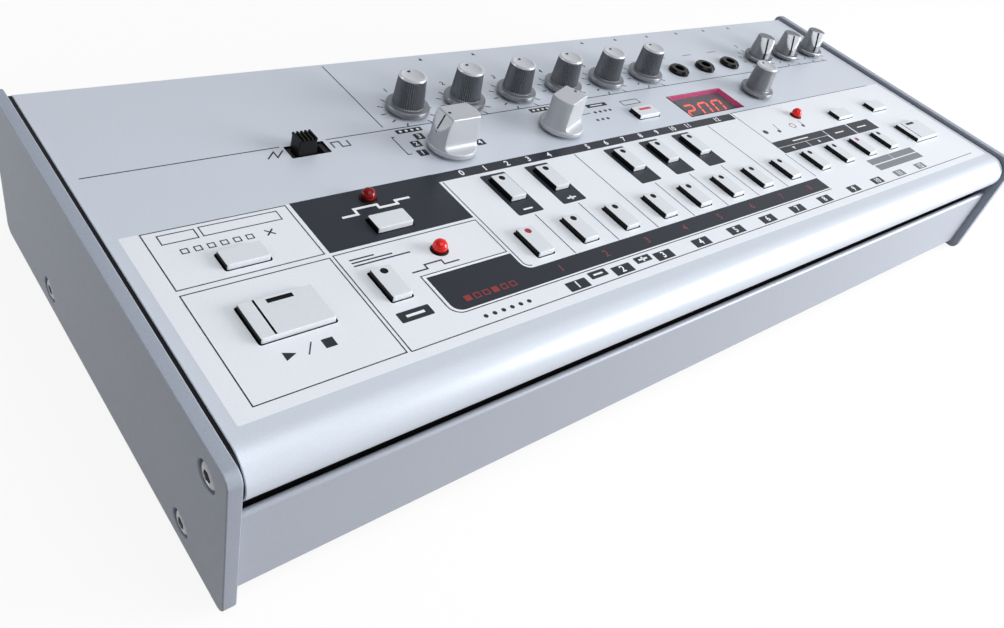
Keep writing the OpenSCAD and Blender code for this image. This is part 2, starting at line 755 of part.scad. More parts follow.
// Upright mini jack with a round nut on the panel
module top_jack() {
    nut_h = 1.5;
    body_w = 9;
    body_top = under_z - 2.5;
    difference() {
        union() {
            block([-body_w / 2, -body_w / 2, board_z], [body_w / 2, body_w / 2, body_top]);
            tube_z(bush_r, board_z, top_z + nut_h);
            translate([0, 0, top_z]) rotate_extrude()
                polygon([[bush_r - 0.5, 0], [nut_r, 0], [nut_r, nut_h - 0.6], [nut_r - 0.6, nut_h],
                         [bush_r - 0.5, nut_h]]);
        }
        tube_z(jack_bore_r, board_z + 1, top_z + nut_h + 1);
    }
}

module rear_jack() {
    body_w = 9;
    difference() {
        union() {
            block([-body_w / 2, rear_in_y - 11, -body_w / 2],
                  [body_w / 2, rear_in_y - FIT, board_under_z - rear_z]);
            rod_y(bush_r, rear_in_y - 1, rear_y + 0.5);
        }
        rod_y(jack_bore_r, rear_in_y - 10, rear_y + 2);
    }
}

module din_socket() {
    w = din_body[0];
    difference() {
        union() {
            block([-w / 2, rear_in_y - din_body[1], FIT + floor_z - rear_z],
                  [w / 2, rear_in_y - FIT, board_under_z - rear_z]);
            rod_y(din_bore_r + din_wall, rear_in_y - 1, rear_y + 0.4);
        }
        rod_y(din_bore_r, rear_y + 0.4 - din_depth, rear_y + 2);
    }
}

module usb_socket() {
    shell = 0.6;
    w = usb_size[0] / 2;
    h = usb_size[1] / 2;
    difference() {
        union() {
            block([-w - 1, rear_in_y - 6, -h - 1], [w + 1, rear_y, h + 1]);
            block([-w, rear_in_y - 6, -h], [w, rear_in_y - 1, board_under_z - rear_z]);
        }
        block([shell - w, rear_in_y - 3, shell - h], [w - shell, rear_y + 1, h - shell]);
    }
}

// Turned controls' housings on the board, and the rear volume control's
module potentiometers() {
    color([0.35, 0.36, 0.38]) {
        for (k = TURNED) at_panel(k[1], k[2]) difference() {
            union() {
                block([-pot_w / 2, -pot_w / 2, board_z], [pot_w / 2, pot_w / 2, board_z + pot_h]);
                tube_z(pot_bush_r, board_z, pot_bush_top);
            }
            tube_z(spindle_r + run_gap, pot_bore_foot, under_z);
        }
        in_module() at_rear(volume_u) difference() {
            union() {
                block([-6, rear_in_y - 10, -6], [6, rear_in_y - FIT, board_under_z - rear_z]);
                rod_y(bush_r, rear_in_y - 1, rear_y);
            }
            rod_y(volume_spindle_r + run_gap, rear_in_y - 8, rear_y + 1);
        }
    }
}

// Push switches under the buttons, and the bodies of the two slide switches
module key_switches() {
    color([0.12, 0.12, 0.13]) {
        for (b = BUTTONS) at_panel(b[1], b[2]) {
            block([-switch_w / 2, -switch_w / 2, board_z], [switch_w / 2, switch_w / 2, board_z + switch_h]);
            tube_z(pin_r, board_z, pin_top_z);
        }
        at_panel(slot_at[0], slot_at[1]) slide_body();
        in_module() at_rear(power_u) difference() {
            block([-6, rear_in_y - 6, -3], [6 + power_travel, rear_in_y - FIT, board_under_z - rear_z]);
            block([-power_tab[0] / 2 - run_gap, rear_in_y - 3, -power_tab[2] / 2 - run_gap],
                  [power_tab[0] / 2 + power_travel + run_gap, rear_y, power_tab[2] / 2 + run_gap]);
        }
    }
}

slide_top_z = top_z - 0.6;
slide_groove = 3;

module slide_body() {
    groove_w = tongue_w + slot_travel + 2 * CLEAR;
    difference() {
        block([FIT - slot_w / 2, FIT - slot_d / 2, board_z],
              [slot_w / 2 - FIT, slot_d / 2 - FIT, slide_top_z]);
        block([-groove_w / 2, -tongue_d / 2 - run_gap, slide_top_z - slide_groove],
              [groove_w / 2, tongue_d / 2 + run_gap, top_z]);
    }
}

module battery_door() {
    color([0.09, 0.09, 0.1]) at_panel(battery_at[0], battery_at[1])
        block([CLEAR - battery_box[0] / 2, CLEAR - battery_box[1] / 2, bottom_z],
              [battery_box[0] / 2 - CLEAR, battery_box[1] / 2 - CLEAR, floor_z]);
}

module batteries() {
    nub_r = 2.6;
    nub_h = 1.2;
    color([0.6, 0.5, 0.2]) for (ix = [-1, 1]) for (iy = [-1, 1])
        at_panel(battery_at[0] + ix * (battery_len + battery_gap[0]) / 2,
                 battery_at[1] + iy * (battery_dia + battery_gap[1]) / 2)
            translate([0, 0, floor_z + FIT + battery_dia / 2]) {
                rod_x(battery_dia / 2, -battery_len / 2, battery_len / 2 - nub_h);
                rod_x(nub_r, 0, battery_len / 2);
            }
}

module speaker() {
    color([0.2, 0.2, 0.22]) at_panel(speaker_at[0], speaker_at[1]) {
        tube_z(speaker_r, floor_z, floor_z + speaker_h / 2);
        tube_z(speaker_r * 0.6, floor_z, floor_z + speaker_h);
    }
}

// Case screws in their wells, and the screws that hold the cradle
module case_screws() {
    case_head_h = 1.8;
    color([0.3, 0.3, 0.32]) in_module() {
        for (p = POSTS) translate([p[0] - module_w / 2, p[1] - nose_r, 0]) {
            tube_z(screw_r, well_top_z - 1, under_z - 1.5);
            tube_z(well_r - 2 * FIT, well_top_z - case_head_h, well_top_z);
        }
        for (p = CRADLE_SCREWS) translate([p[0], p[1], 0]) {
            tube_z(screw_r, cradle_z - 0.5, floor_z + 4);
            tube_z(head_r, cradle_z - case_head_h, cradle_z);
        }
    }
}

// Moving controls

// A cap with a bevelled top, kept in by a flange under the panel, on a stem over the switch's pin
module button_cap(w, d, h) {
    difference() {
        union() {
            bevelled_block(w, d, cap_root_z, top_z + h, cap_bevel);
            block([-w / 2 - cap_flange, -d / 2 - cap_flange, cap_root_z],
                  [w / 2 + cap_flange, d / 2 + cap_flange, cap_root_z + cap_flange_t]);
            tube_z(stem_r, stem_foot_z, cap_root_z + 0.5);
        }
        tube_z(pin_r + run_gap, stem_foot_z - 1, bore_top_z);
    }
}

module button(b) {
    color([0.84, 0.85, 0.87]) at_panel(b[1], b[2]) button_cap(b[3], b[4], b[5]);
}

module spindle() {
    tube_z(spindle_r, spindle_foot, top_z + knob_lift + 1);
}

// Round body on a flange, with a shallow dish on top
module round_knob(h) {
    foot = top_z + knob_lift;
    neck = foot + flange_t;
    rim = 0.5;
    rotate_extrude() polygon([[0, foot], [flange_r, foot], [flange_r, neck - 0.4], [flange_r - 0.4, neck],
        [knob_foot_r, neck], [knob_top_r, top_z + h - 0.3], [knob_top_r - 0.3, top_z + h],
        [knob_top_r - 0.3 - rim, top_z + h], [0, top_z + h - 0.35]]);
    spindle();
}

// Cuts a slanted face at the pointer's end, from (r0, z0) up to (r1, z1)
module slant_cut(r0, z0, r1, z1) {
    far = 3 * r0;
    rotate([90, 0, 0]) linear_extrude(height = 2 * far, center = true)
        polygon([[r0, z0], [r1, z1 + EPS], [far, z1 + EPS], [far, z0]]);
}

// Round body on a flange, with a slanted face that reaches well down the pointer's side
module pointer_knob() {
    foot = top_z + knob_lift;
    neck = foot + flange_t;
    top = top_z + pointer_h;
    slant_start = 0.3;
    slant_in = 2;
    slant_r = pointer_foot_r + slant_start * (pointer_top_r - pointer_foot_r);
    difference() {
        rotate_extrude() polygon([[0, foot], [pointer_r, foot], [pointer_r, neck - 0.4],
            [pointer_r - 0.4, neck], [pointer_foot_r, neck], [pointer_top_r, top], [0, top]]);
        slant_cut(slant_r, neck + slant_start * (top - neck), pointer_top_r - slant_in, top);
    }
    spindle();
}

// Bar that narrows the body on both sides above a skirt, with a slanted face at the pointer's end
module bar_knob(skirt_r, h, bar) {
    foot = top_z + knob_lift;
    shoulder = foot + flange_t;
    top = top_z + h;
    body_r = skirt_r - 0.3;
    top_r = skirt_r - 0.9;
    fillet = 1.6;
    slant_in = 1.7;
    difference() {
        rotate_extrude() polygon([[0, foot], [skirt_r, foot], [skirt_r, shoulder - 0.3], [body_r, shoulder],
            [top_r, top], [0, top]]);
        for (side = [0, 1]) mirror([0, side, 0]) along_x(-2 * skirt_r, 2 * skirt_r) {
            translate([bar / 2 + fillet, shoulder]) square([2 * skirt_r, h]);
            translate([bar / 2, shoulder + fillet]) square([2 * skirt_r, h]);
            translate([bar / 2 + fillet, shoulder + fillet]) circle(r = fillet);
        }
        slant_cut(body_r, top_z + 0.55 * h, top_r - slant_in, top);
    }
    spindle();
}

module tone_knob(k) {
    color([0.62, 0.63, 0.65]) at_panel(k[1], k[2]) round_knob(knob_h);
}

module effect_knob(k) {
    color([0.66, 0.67, 0.69]) at_panel(k[1], k[2]) rotate(k[3]) pointer_knob();
}

module selector(k) {
    color([0.7, 0.71, 0.73]) at_panel(k[1], k[2]) rotate(k[3]) bar_knob(selector_r, selector_h, selector_bar);
}

// Outline of a block that narrows from its foot to its top
module taper_outline(foot_w, top_w, z0, z1) {
    polygon([[-foot_w / 2, z0], [foot_w / 2, z0], [top_w / 2, z1], [-top_w / 2, z1]]);
}

// Tapered cap with five ribs, on a tongue that slides in the switch's groove, at its left end
module waveform_slider() {
    foot = slide_top_z - slide_groove + CLEAR;
    cap_foot = top_z - CLEAR;
    taper = 0.94;
    top_w = taper * lever_w;
    top_d = taper * lever_d;
    rib_w = top_w / 9;
    saddle = top_z + lever_h - 0.6;
    color([0.05, 0.05, 0.06]) at_panel(slot_at[0] - slot_travel / 2, slot_at[1]) {
        block([-tongue_w / 2, -tongue_d / 2, foot], [tongue_w / 2, tongue_d / 2, cap_foot + 1]);
        intersection() {
            rotate([90, 0, 0]) linear_extrude(height = lever_d, center = true)
                taper_outline(lever_w, top_w, cap_foot, saddle);
            rotate([90, 0, 90]) linear_extrude(height = lever_w, center = true)
                taper_outline(lever_d, top_d, cap_foot, saddle);
        }
        for (i = [-2:2]) translate([2 * i * rib_w, 0, 0])
            block([-rib_w / 2, -top_d / 2, saddle - 0.5], [rib_w / 2, top_d / 2, top_z + lever_h]);
    }
}

module volume_knob() {
    gap = 0.6;
    color([0.1, 0.1, 0.11]) in_module() at_rear(volume_u) {
        translate([0, rear_y + gap, 0]) rotate([-90, 0, 0]) rotate_extrude()
            polygon([[0, 0], [volume_r, 0], [volume_r, volume_len - 0.6], [volume_r - 0.6, volume_len],
                     [0, volume_len]]);
        rod_y(volume_spindle_r, rear_in_y - 8 + CLEAR, rear_y + gap + 1);
    }
}

module power_switch() {
    color([0.1, 0.1, 0.11]) in_module() at_rear(power_u)
        block([-power_tab[0] / 2, rear_in_y - 3 + CLEAR, -power_tab[2] / 2],
              [power_tab[0] / 2, rear_y + power_tab[1], power_tab[2] / 2]);
}

left_side_plate();
right_side_plate();
front_panel();
base_tray();
side_screws();
rubber_feet();
cradle();
bottom_case();
top_panel();
circuit_board();
display_window();
display_block();
mode_leds();
jack_sockets();
potentiometers();
key_switches();
battery_door();
batteries();
speaker();
case_screws();
waveform_slider();
volume_knob();
power_switch();
for (b = BUTTONS) button(b);
for (k = TONE_KNOBS) tone_knob(k);
for (k = ENCODERS) tone_knob(k);
for (k = EFFECT_KNOBS) effect_knob(k);
for (k = SELECTORS) selector(k);
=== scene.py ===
"""Looks of the bass synthesizer: a silver module with keys, knobs and a red display in a metal dock.

Shapes are written in millimetres. Most are placed on the panel: u runs from its left end, v from the
front of its rolled nose towards the back, and h is the height above its surface.
"""
import json
from dataclasses import dataclass
from math import asin, atan2, cos, pi, radians, sin, sqrt, tan

import bmesh
import bpy
from mathutils import Euler, Matrix, Vector
from mathutils.geometry import tessellate_polygon

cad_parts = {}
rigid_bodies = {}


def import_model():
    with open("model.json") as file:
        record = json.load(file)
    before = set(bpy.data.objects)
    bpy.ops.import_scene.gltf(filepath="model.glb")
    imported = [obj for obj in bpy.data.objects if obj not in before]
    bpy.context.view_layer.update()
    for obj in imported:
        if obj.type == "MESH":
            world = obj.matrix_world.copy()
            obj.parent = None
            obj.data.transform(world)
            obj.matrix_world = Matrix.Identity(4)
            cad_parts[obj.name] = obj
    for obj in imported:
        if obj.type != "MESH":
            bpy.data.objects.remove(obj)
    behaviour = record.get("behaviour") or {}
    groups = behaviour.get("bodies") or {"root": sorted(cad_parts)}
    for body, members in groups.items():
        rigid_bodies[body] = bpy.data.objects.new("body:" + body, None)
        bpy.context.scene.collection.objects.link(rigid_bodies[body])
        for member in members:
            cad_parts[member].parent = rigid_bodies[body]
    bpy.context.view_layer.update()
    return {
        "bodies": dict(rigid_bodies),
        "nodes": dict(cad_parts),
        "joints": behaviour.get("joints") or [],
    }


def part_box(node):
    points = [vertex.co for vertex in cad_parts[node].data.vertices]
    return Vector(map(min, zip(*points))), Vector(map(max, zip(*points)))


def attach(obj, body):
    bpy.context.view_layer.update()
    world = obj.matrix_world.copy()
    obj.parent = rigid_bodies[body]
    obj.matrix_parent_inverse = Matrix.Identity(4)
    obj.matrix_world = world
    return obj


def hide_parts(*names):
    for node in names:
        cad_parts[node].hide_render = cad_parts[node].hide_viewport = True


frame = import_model()

MM = 0.001
WIDTH = 300.0
DEPTH = 117.0
NOSE_R = 6.1
SHEET = 1.2
SIDE_GAP = 1.2
PLATE = 2.8
REAR_H = -20.0
JOINTS = {joint["name"]: joint for joint in frame["joints"]}
PIVOT = Vector(JOINTS["module_tilt"]["pos_m"])
NORMAL = Vector(JOINTS["value_encoder_turn"]["axis"])
SLOPE = atan2(-NORMAL.y, NORMAL.z)
PANEL = (Matrix.Translation(PIVOT) @ Matrix.Rotation(SLOPE, 4, "X")
         @ Matrix.Translation(Vector((-WIDTH / 2, -NOSE_R, NOSE_R)) * MM))
TO_PANEL = PANEL.inverted()


def at(u, v, h=0.0, turn=0.0):
    """Place on the panel, with the local z axis along the panel's normal."""
    return PANEL @ Matrix.Translation(Vector((u, v, h)) * MM) @ Matrix.Rotation(radians(turn), 4, "Z")


FACING = {"left": (-90, "Y"), "right": (90, "Y"), "back": (-90, "X")}


def facing(side, u, v=DEPTH, h=REAR_H):
    """Place whose local z axis points out of a side of the module."""
    degrees, axis = FACING[side]
    return at(u, v, h) @ Matrix.Rotation(radians(degrees), 4, axis)


def dock_spot(behind, height):
    """Place in v and h of a point of the dock, from its distance behind the pivot and its height."""
    rise = height - PIVOT.z / MM
    return (NOSE_R + behind * cos(SLOPE) + rise * sin(SLOPE),
            rise * cos(SLOPE) - behind * sin(SLOPE) - NOSE_R)


def down_to(v, height):
    """Depth h under the panel, along its normal, at which a height above the table is met."""
    rise = height - PIVOT.z / MM - (v - NOSE_R) * sin(SLOPE)
    return rise / cos(SLOPE) - NOSE_R


def panel_box(node):
    """Lowest and highest corner of a solid in the panel's millimetres."""
    points = [TO_PANEL @ vertex.co / MM for vertex in frame["nodes"][node].data.vertices]
    return [[pick(point[axis] for point in points) for axis in range(3)] for pick in (min, max)]


def centre(node):
    """Middle of a solid on the panel, as (u, v)."""
    low, high = panel_box(node)
    return (low[0] + high[0]) / 2, (low[1] + high[1]) / 2


# Materials


def linear(value):
    """One channel of a screen colour, 0 to 255, as linear light."""
    share = value / 255.0
    if share <= 0.04045:
        return share / 12.92
    return ((share + 0.055) / 1.055) ** 2.4


def set_inputs(tree, node, inputs):
    """Gives each input a value, or a link from an output or a node's first output."""
    for key, value in inputs.items():
        if isinstance(value, bpy.types.Node):
            value = value.outputs[0]
        if isinstance(value, bpy.types.NodeSocket):
            tree.links.new(value, node.inputs[key])
        else:
            node.inputs[key].default_value = value


def add_node(tree, kind, inputs, **settings):
    node = tree.nodes.new("ShaderNode" + kind)
    for name, value in settings.items():
        setattr(node, name, value)
    set_inputs(tree, node, inputs)
    return node


def noise(tree, coordinates, scale, detail=2.0):
    return add_node(tree, "TexNoise", {"Scale": scale, "Detail": detail, "Vector": coordinates})


def spread(tree, value, low, high, start=0.0):
    """Runs from low to high while the value runs from start to 1."""
    inputs = {"Value": value, "From Min": start, "To Min": low, "To Max": high}
    return add_node(tree, "MapRange", inputs)


RELIEF = 0.00005
GLOSS_GRAIN = 0.37


def finish(name, screen, rough=0.4, metal=0.0, tint=0.05, grain=1500.0, rough_swing=0.06, bump=0.0,
           bump_grain=5200.0, glow=0.0, alpha=1.0, specular=0.5):
    """Material with a slightly uneven screen colour, an uneven gloss and a fine relief."""
    colour = [linear(value) for value in screen]
    material = bpy.data.materials.new(name)
    material.use_nodes = True
    tree = material.node_tree
    spots = tree.nodes.new("ShaderNodeTexCoord").outputs["Object"]
    ramp = add_node(tree, "ValToRGB", {"Fac": noise(tree, spots, grain, 3.0)})
    for end, position, change in zip(ramp.color_ramp.elements, (0.3, 0.7), (-tint, tint)):
        end.position = position
        end.color = [min(1.0, channel * (1.0 + change)) for channel in colour] + [1.0]
    gloss = spread(tree, noise(tree, spots, grain * GLOSS_GRAIN), max(0.02, rough - rough_swing),
                   min(1.0, rough + rough_swing))
    inputs = {"Metallic": metal, "Specular IOR Level": specular, "Alpha": alpha, "Emission Strength": glow,
              "Emission Color": colour + [1.0], "Base Color": ramp, "Roughness": gloss}
    if bump > 0.0:
        height = noise(tree, spots, bump_grain)
        inputs["Normal"] = add_node(tree, "Bump", {"Strength": bump, "Distance": RELIEF, "Height": height})
    set_inputs(tree, tree.nodes["Principled BSDF"], inputs)
    return material


SILVER = finish("silver_paint", (205, 212, 223), 0.38, 0.1, 0.03, 2600.0, 0.05, 0.12)
FIELD = finish("pale_print", (229, 233, 240), 0.42, 0.0, 0.015, 1500.0, 0.05, 0.06)
CHARCOAL = finish("charcoal_print", (40, 44, 54), 0.36, 0.0, 0.06, 1200.0, 0.05, 0.05, 5000.0,
                  specular=0.28)
WHITE = finish("white_print", (238, 240, 243), tint=0.02)
RED = finish("red_print", (140, 44, 42), tint=0.08)
DIM = finish("dim_print", (116, 58, 60), tint=0.08)
# Charcoal printed lighter: a painted highlight on the plates at the right.
GLARED_CHARCOAL = finish("charcoal_print_painted_glare", (120, 124, 132))
PLATE_METAL = finish("plate_aluminium", (155, 162, 176), 0.5, 0.0, 0.04, 1800.0, 0.08, 0.35, 3600.0)
FRONT_METAL = finish("front_aluminium", (168, 174, 186), 0.42, 0.05, 0.035, 2200.0, 0.06, 0.25, 4200.0)
KEY = finish("key_plastic", (218, 222, 228), 0.42, 0.05, 0.02, 1400.0, 0.05, 0.05)
KNOB = finish("knob_silver", (122, 125, 130), 0.4, 0.6, 0.04, 1600.0, 0.06, 0.08)
KNOB_FLANGE = finish("knob_flange", (138, 141, 146), 0.34, 0.7, 0.04, 1600.0, 0.05, 0.06)
KNOB_TOP = finish("knob_rim", (206, 209, 214), 0.3, 0.5, 0.03, 1600.0, 0.05, 0.06)
SELECTOR = finish("selector_silver", (186, 189, 195), 0.36, 0.2, 0.025, 1500.0, 0.05, 0.05)
# Black of the real black parts, also used as painted shade in gaps, openings and on the ends of the key caps.
BLACK = finish("black_plastic_and_painted_shade", (12, 12, 14), 0.4, 0.0, 0.15, 1300.0, 0.08, 0.2, 3000.0, specular=0.2)
GLOSS_BLACK = finish("gloss_black", (4, 4, 5), 0.1, 0.0, 0.15, 900.0, 0.04, specular=0.2)
CASE = finish("case_plastic", (26, 26, 29), 0.55, 0.0, 0.12, 900.0, 0.08, 0.5, 2200.0)
RUBBER = finish("foot_rubber", (24, 24, 25), 0.8, 0.0, 0.15, 1100.0, 0.08, 0.5, 2600.0)
STEEL = finish("screw_steel", (150, 152, 157), 0.32, 0.8, 0.05, 1500.0, 0.08, 0.15, 4000.0)
TRAY = finish("tray_paint", (72, 74, 79), 0.5, 0.0, 0.07, 900.0, 0.08, 0.3, 2800.0)
BOARD = finish("board_green", (20, 74, 46), 0.45, 0.0, 0.12, 400.0, 0.08)
INNER = finish("inner_black", (34, 34, 37), 0.6, 0.0, 0.12, 900.0, 0.08)
POT_METAL = finish("pot_metal", (140, 142, 146), 0.4, 0.7, 0.06, 900.0, 0.08)
WRAP = finish("battery_wrap", (150, 140, 90), 0.3, 0.0, 0.1, 200.0, 0.06)
# Its glow is painted light: the window's far walls are no lamp.
WINDOW_RED = finish("window_red", (168, 58, 102), 0.3, 0.0, 0.12, 500.0, 0.05, glow=0.5)
WINDOW_FLOOR = finish("window_floor", (98, 105, 111), 0.4, 0.0, 0.06, 700.0, 0.06, specular=0.2)
PANE = finish("window_pane", (90, 10, 24), 0.08, 0.0, 0.05, 300.0, 0.02, alpha=0.07)
DIGIT = finish("digit_red", (240, 96, 84), 0.4, 0.0, 0.06, 900.0, 0.05, glow=0.8)
LAMP_ON = finish("lamp_on", (208, 15, 10), 0.15, 0.0, 0.06, 500.0, 0.05, glow=0.18)
# Its faint glow is painted light on a lamp that is out.
LAMP_OFF = finish("lamp_off", (122, 4, 8), 0.13, 0.0, 0.1, 500.0, 0.05, glow=0.06, specular=0.3)
DOT_ON = finish("dot_on", (150, 22, 50), 0.3, 0.0, 0.06, 900.0, 0.05, glow=0.25)
TEMPO_RED = finish("tempo_red", (196, 66, 84), 0.4, 0.0, 0.05, 900.0, 0.05)


# Shapes


def polar(radius, angle, x=0.0, y=0.0):
    return x + radius * cos(angle), y + radius * sin(angle)


def turns(count):
    """Angles all round, in equal steps."""
    return [2 * pi * i / count for i in range(count)]


def circle(radius, count=48, x=0.0, y=0.0):
    return [polar(radius, angle, x, y) for angle in turns(count)]


def bend(u, v, radius, first, last, steps=6):
    """Points of an arc between two angles in degrees."""
    angles = [radians(first + (last - first) * step / steps) for step in range(steps + 1)]
    return [polar(radius, angle, u, v) for angle in angles]


def rounded(corners, radius, steps=4):
    """Outline through the corners, counter-clockwise, with each corner rounded by an arc."""
    outline = []
    count = len(corners)
    for i, corner in enumerate(corners):
        here = Vector(corner)
        back = (Vector(corners[i - 1]) - here).normalized()
        ahead = (Vector(corners[(i + 1) % count]) - here).normalized()
        half = back.angle(ahead) / 2
        middle = here + (back + ahead).normalized() * (radius / sin(half))
        first = here + back * (radius / tan(half)) - middle
        last = here + ahead * (radius / tan(half)) - middle
        for step in range(steps + 1):
            spoke = (first * (steps - step) + last * step).normalized() * radius
            outline.append(tuple(middle + spoke))
    return outline


def rectangle(u0, u1, v0, v1):
    return [(u0, v0), (u1, v0), (u1, v1), (u0, v1)]


def rounded_block(width, depth, radius, u=0.0, v=0.0):
    return rounded(rectangle(u - width / 2, u + width / 2, v - depth / 2, v + depth / 2), radius)


def mitre(first, second, distance):
    """Step to the left at a bend between two directions."""
    side = Vector((-first.y - second.y, first.x + second.x)).normalized()
    return side * (distance / max(0.3, side.dot(Vector((-first.y, first.x)))))


def inset(outline, distance):
    """The outline moved inward. It runs counter-clockwise."""
    moved = []
    for i, point in enumerate(outline):
        here = Vector(point)
        first = (here - Vector(outline[i - 1])).normalized()
        second = (Vector(outline[(i + 1) % len(outline)]) - here).normalized()
        moved.append(tuple(here + mitre(first, second, distance)))
    return moved


def ring(outline, height):
    return [(x, y, height) for x, y in outline]


AXIS_R = 0.03


def rim(radius, steps=4):
    """Steps of a rounded edge, as pairs of inset and drop, from the side to the top."""
    angles = [pi / 2 * step / steps for step in range(steps + 1)]
    return [(radius * (1 - cos(angle)), radius * (1 - sin(angle))) for angle in angles]


def put(name, data):
    """New object in the scene."""
    thing = bpy.data.objects.new(name, data)
    bpy.context.scene.collection.objects.link(thing)
    return thing


class Shape:
    """Points and faces of one piece, with a paint number for each face."""

    def __init__(self):
        self.points = []
        self.faces = []
        self.paints = []

    def add(self, points, faces, paint=0):
        start = len(self.points)
        self.points.extend(points)
        self.faces.extend(tuple(start + i for i in face) for face in faces)
        self.paints.extend([paint] * len(faces))

    def rings(self, rings, paint=0, floor=True, roof=True):
        """Skin over rings that have the same number of points."""
        count = len(rings[0])
        faces = []
        for level in range(len(rings) - 1):
            for i in range(count):
                low, low_next = level * count + i, level * count + (i + 1) % count
                faces.append((low, low_next, low_next + count, low + count))
        if floor:
            faces.append(tuple(reversed(range(count))))
        if roof:
            faces.append(tuple(range((len(rings) - 1) * count, len(rings) * count)))
        self.add([point for level in rings for point in level], faces, paint)

    def sheet(self, outline, height, holes=(), paint=0):
        """Flat face with holes."""
        loops = [[Vector((x, y, height)) for x, y in loop] for loop in [outline, *holes]]
        self.add([tuple(point) for loop in loops for point in loop], tessellate_polygon(loops), paint)

    def wall(self, outline, low, high, paint=0):
        self.rings([ring(outline, low), ring(outline, high)], paint, False, False)

    def prism(self, outline, low, high, holes=(), paint=0):
        """Flat solid with holes."""
        for height in (low, high):
            self.sheet(outline, height, holes, paint)
        for loop in [outline, *holes]:
            self.wall(loop, low, high, paint)

    def recess(self, outline, top, depth, paint):
        """Sunk floor under a hole of a sheet."""
        self.wall(outline, top - depth, top, paint)
        self.sheet(outline, top - depth, (), paint)

    def lathe(self, profile, count=48, paint=0, swell=None, spot=(0.0, 0.0), closed=False):
        """Round body from (radius, height) pairs; swell(angle, radius, height) may change the radius."""
        rings = []
        for radius, height in profile:
            level = []
            for angle in turns(count):
                reach = swell(angle, radius, height) if swell else radius
                level.append((*polar(reach, angle, *spot), height))
            rings.append(level)
        if closed:
            rings.append(rings[0])
        self.rings(rings, paint, not closed and profile[0][0] > 0.05, not closed and profile[-1][0] > 0.05)

    def repaint(self, paint, chosen):
        """Paints the faces whose unit normal is chosen."""
        for number, face in enumerate(self.faces):
            first, second, third = (Vector(self.points[i]) for i in face[:3])
            if chosen((second - first).cross(third - first).normalized()):
                self.paints[number] = paint

    def piece(self, name, paints, body, place, slot, stands_for=(), angle=38.0):
        """Makes the mesh object, and seats it on a body."""
        mesh = bpy.data.meshes.new(name)
        mesh.from_pydata([Vector(point) * MM for point in self.points], [], self.faces)
        for paint in paints:
            mesh.materials.append(paint)
        mesh.polygons.foreach_set("material_index", self.paints)
        form = bmesh.new()
        form.from_mesh(mesh)
        bmesh.ops.remove_doubles(form, verts=form.verts, dist=1e-6)
        bmesh.ops.recalc_face_normals(form, faces=form.faces)
        form.to_mesh(mesh)
        form.free()
        mesh.shade_smooth()
        mesh.set_sharp_from_angle(angle=radians(angle))
        thing = put(name, mesh)
        thing.matrix_world = place
        flat = thing.modifiers.new("flat_faces", "WEIGHTED_NORMAL")
        flat.keep_sharp = True
        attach(thing, body)
        if stands_for:
            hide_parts(*stands_for)


# Places of the controls


BUTTONS = [name for name in frame["bodies"] if "_button" in name or "_key_" in name]
LARGE = ("run_stop_button", "write_button")
LIT_KEYS = ("white_key_1", "step_button_3")
TONE_KNOBS = [f"tone_knob_{i}" for i in range(1, 7)]
EFFECT_KNOBS = [f"effect_knob_{i}" for i in range(1, 4)]
SELECTORS = ["track_selector", "mode_selector"]
ENCODER = "value_encoder"
LAMPS = [(56.3, 57.8), (61.6, 35.9), (227.5, 53.3)]
JACKS = [(201.9, 89.5), (216.65, 89.5), (231.4, 89.5)]
DISPLAY_SIZE = (28.8, 12.8)
DISPLAY_AT = centre("display_window")
SLOT_AT = (52.7, 79.8)
SLOT_SIZE = (10.4, 5.0)
CAP_FLANGE = 0.7
CAP_GAP = 0.35
KNOB_HOLE_R = 3.6
LAMP_HOLE_R = 2.2
JACK_HOLE_R = 3.1


def button_size(node):
    """Width, depth and height of a button's cap."""
    low, high = panel_box(node)
    return high[0] - low[0] - 2 * CAP_FLANGE, high[1] - low[1] - 2 * CAP_FLANGE, high[2]


def panel_holes():
    """Outlines of the panel's openings."""
    holes = []
    for node in BUTTONS:
        width, depth, _ = button_size(node)
        holes.append(rounded_block(width + 2 * CAP_GAP, depth + 2 * CAP_GAP, 0.6, *centre(node)))
    for node in TONE_KNOBS + EFFECT_KNOBS + SELECTORS + [ENCODER]:
        holes.append(circle(KNOB_HOLE_R, 32, *centre(node)))
    holes += [circle(LAMP_HOLE_R, 28, *spot) for spot in LAMPS]
    holes += [circle(JACK_HOLE_R, 32, *spot) for spot in JACKS]
    holes.append(rounded_block(*DISPLAY_SIZE, 0.3, *DISPLAY_AT))
    holes.append(rounded_block(*SLOT_SIZE, 0.3, *SLOT_AT))
    return holes


HOLES = panel_holes()


def holes_in(u0, u1, v0, v1):
    """Openings that lie inside a rectangle."""
    return [hole for hole in HOLES if all(u0 < u < u1 and v0 < v < v1 for u, v in hole)]


# Dock


SCREWS = [(NOSE_R, -NOSE_R), dock_spot(11.5, 6.9), dock_spot(84.7, 6.9)]
BORE_R = (2.05, 1.55, 1.55)
SHANKS = ((2.0, 8.88), (1.5, 3.7), (1.5, 3.7))
HEAD_R = 3.0
HEAD_ROOM = 3.2
HEAD_DEEP = 1.8
HEAD_UNDER = -1.7


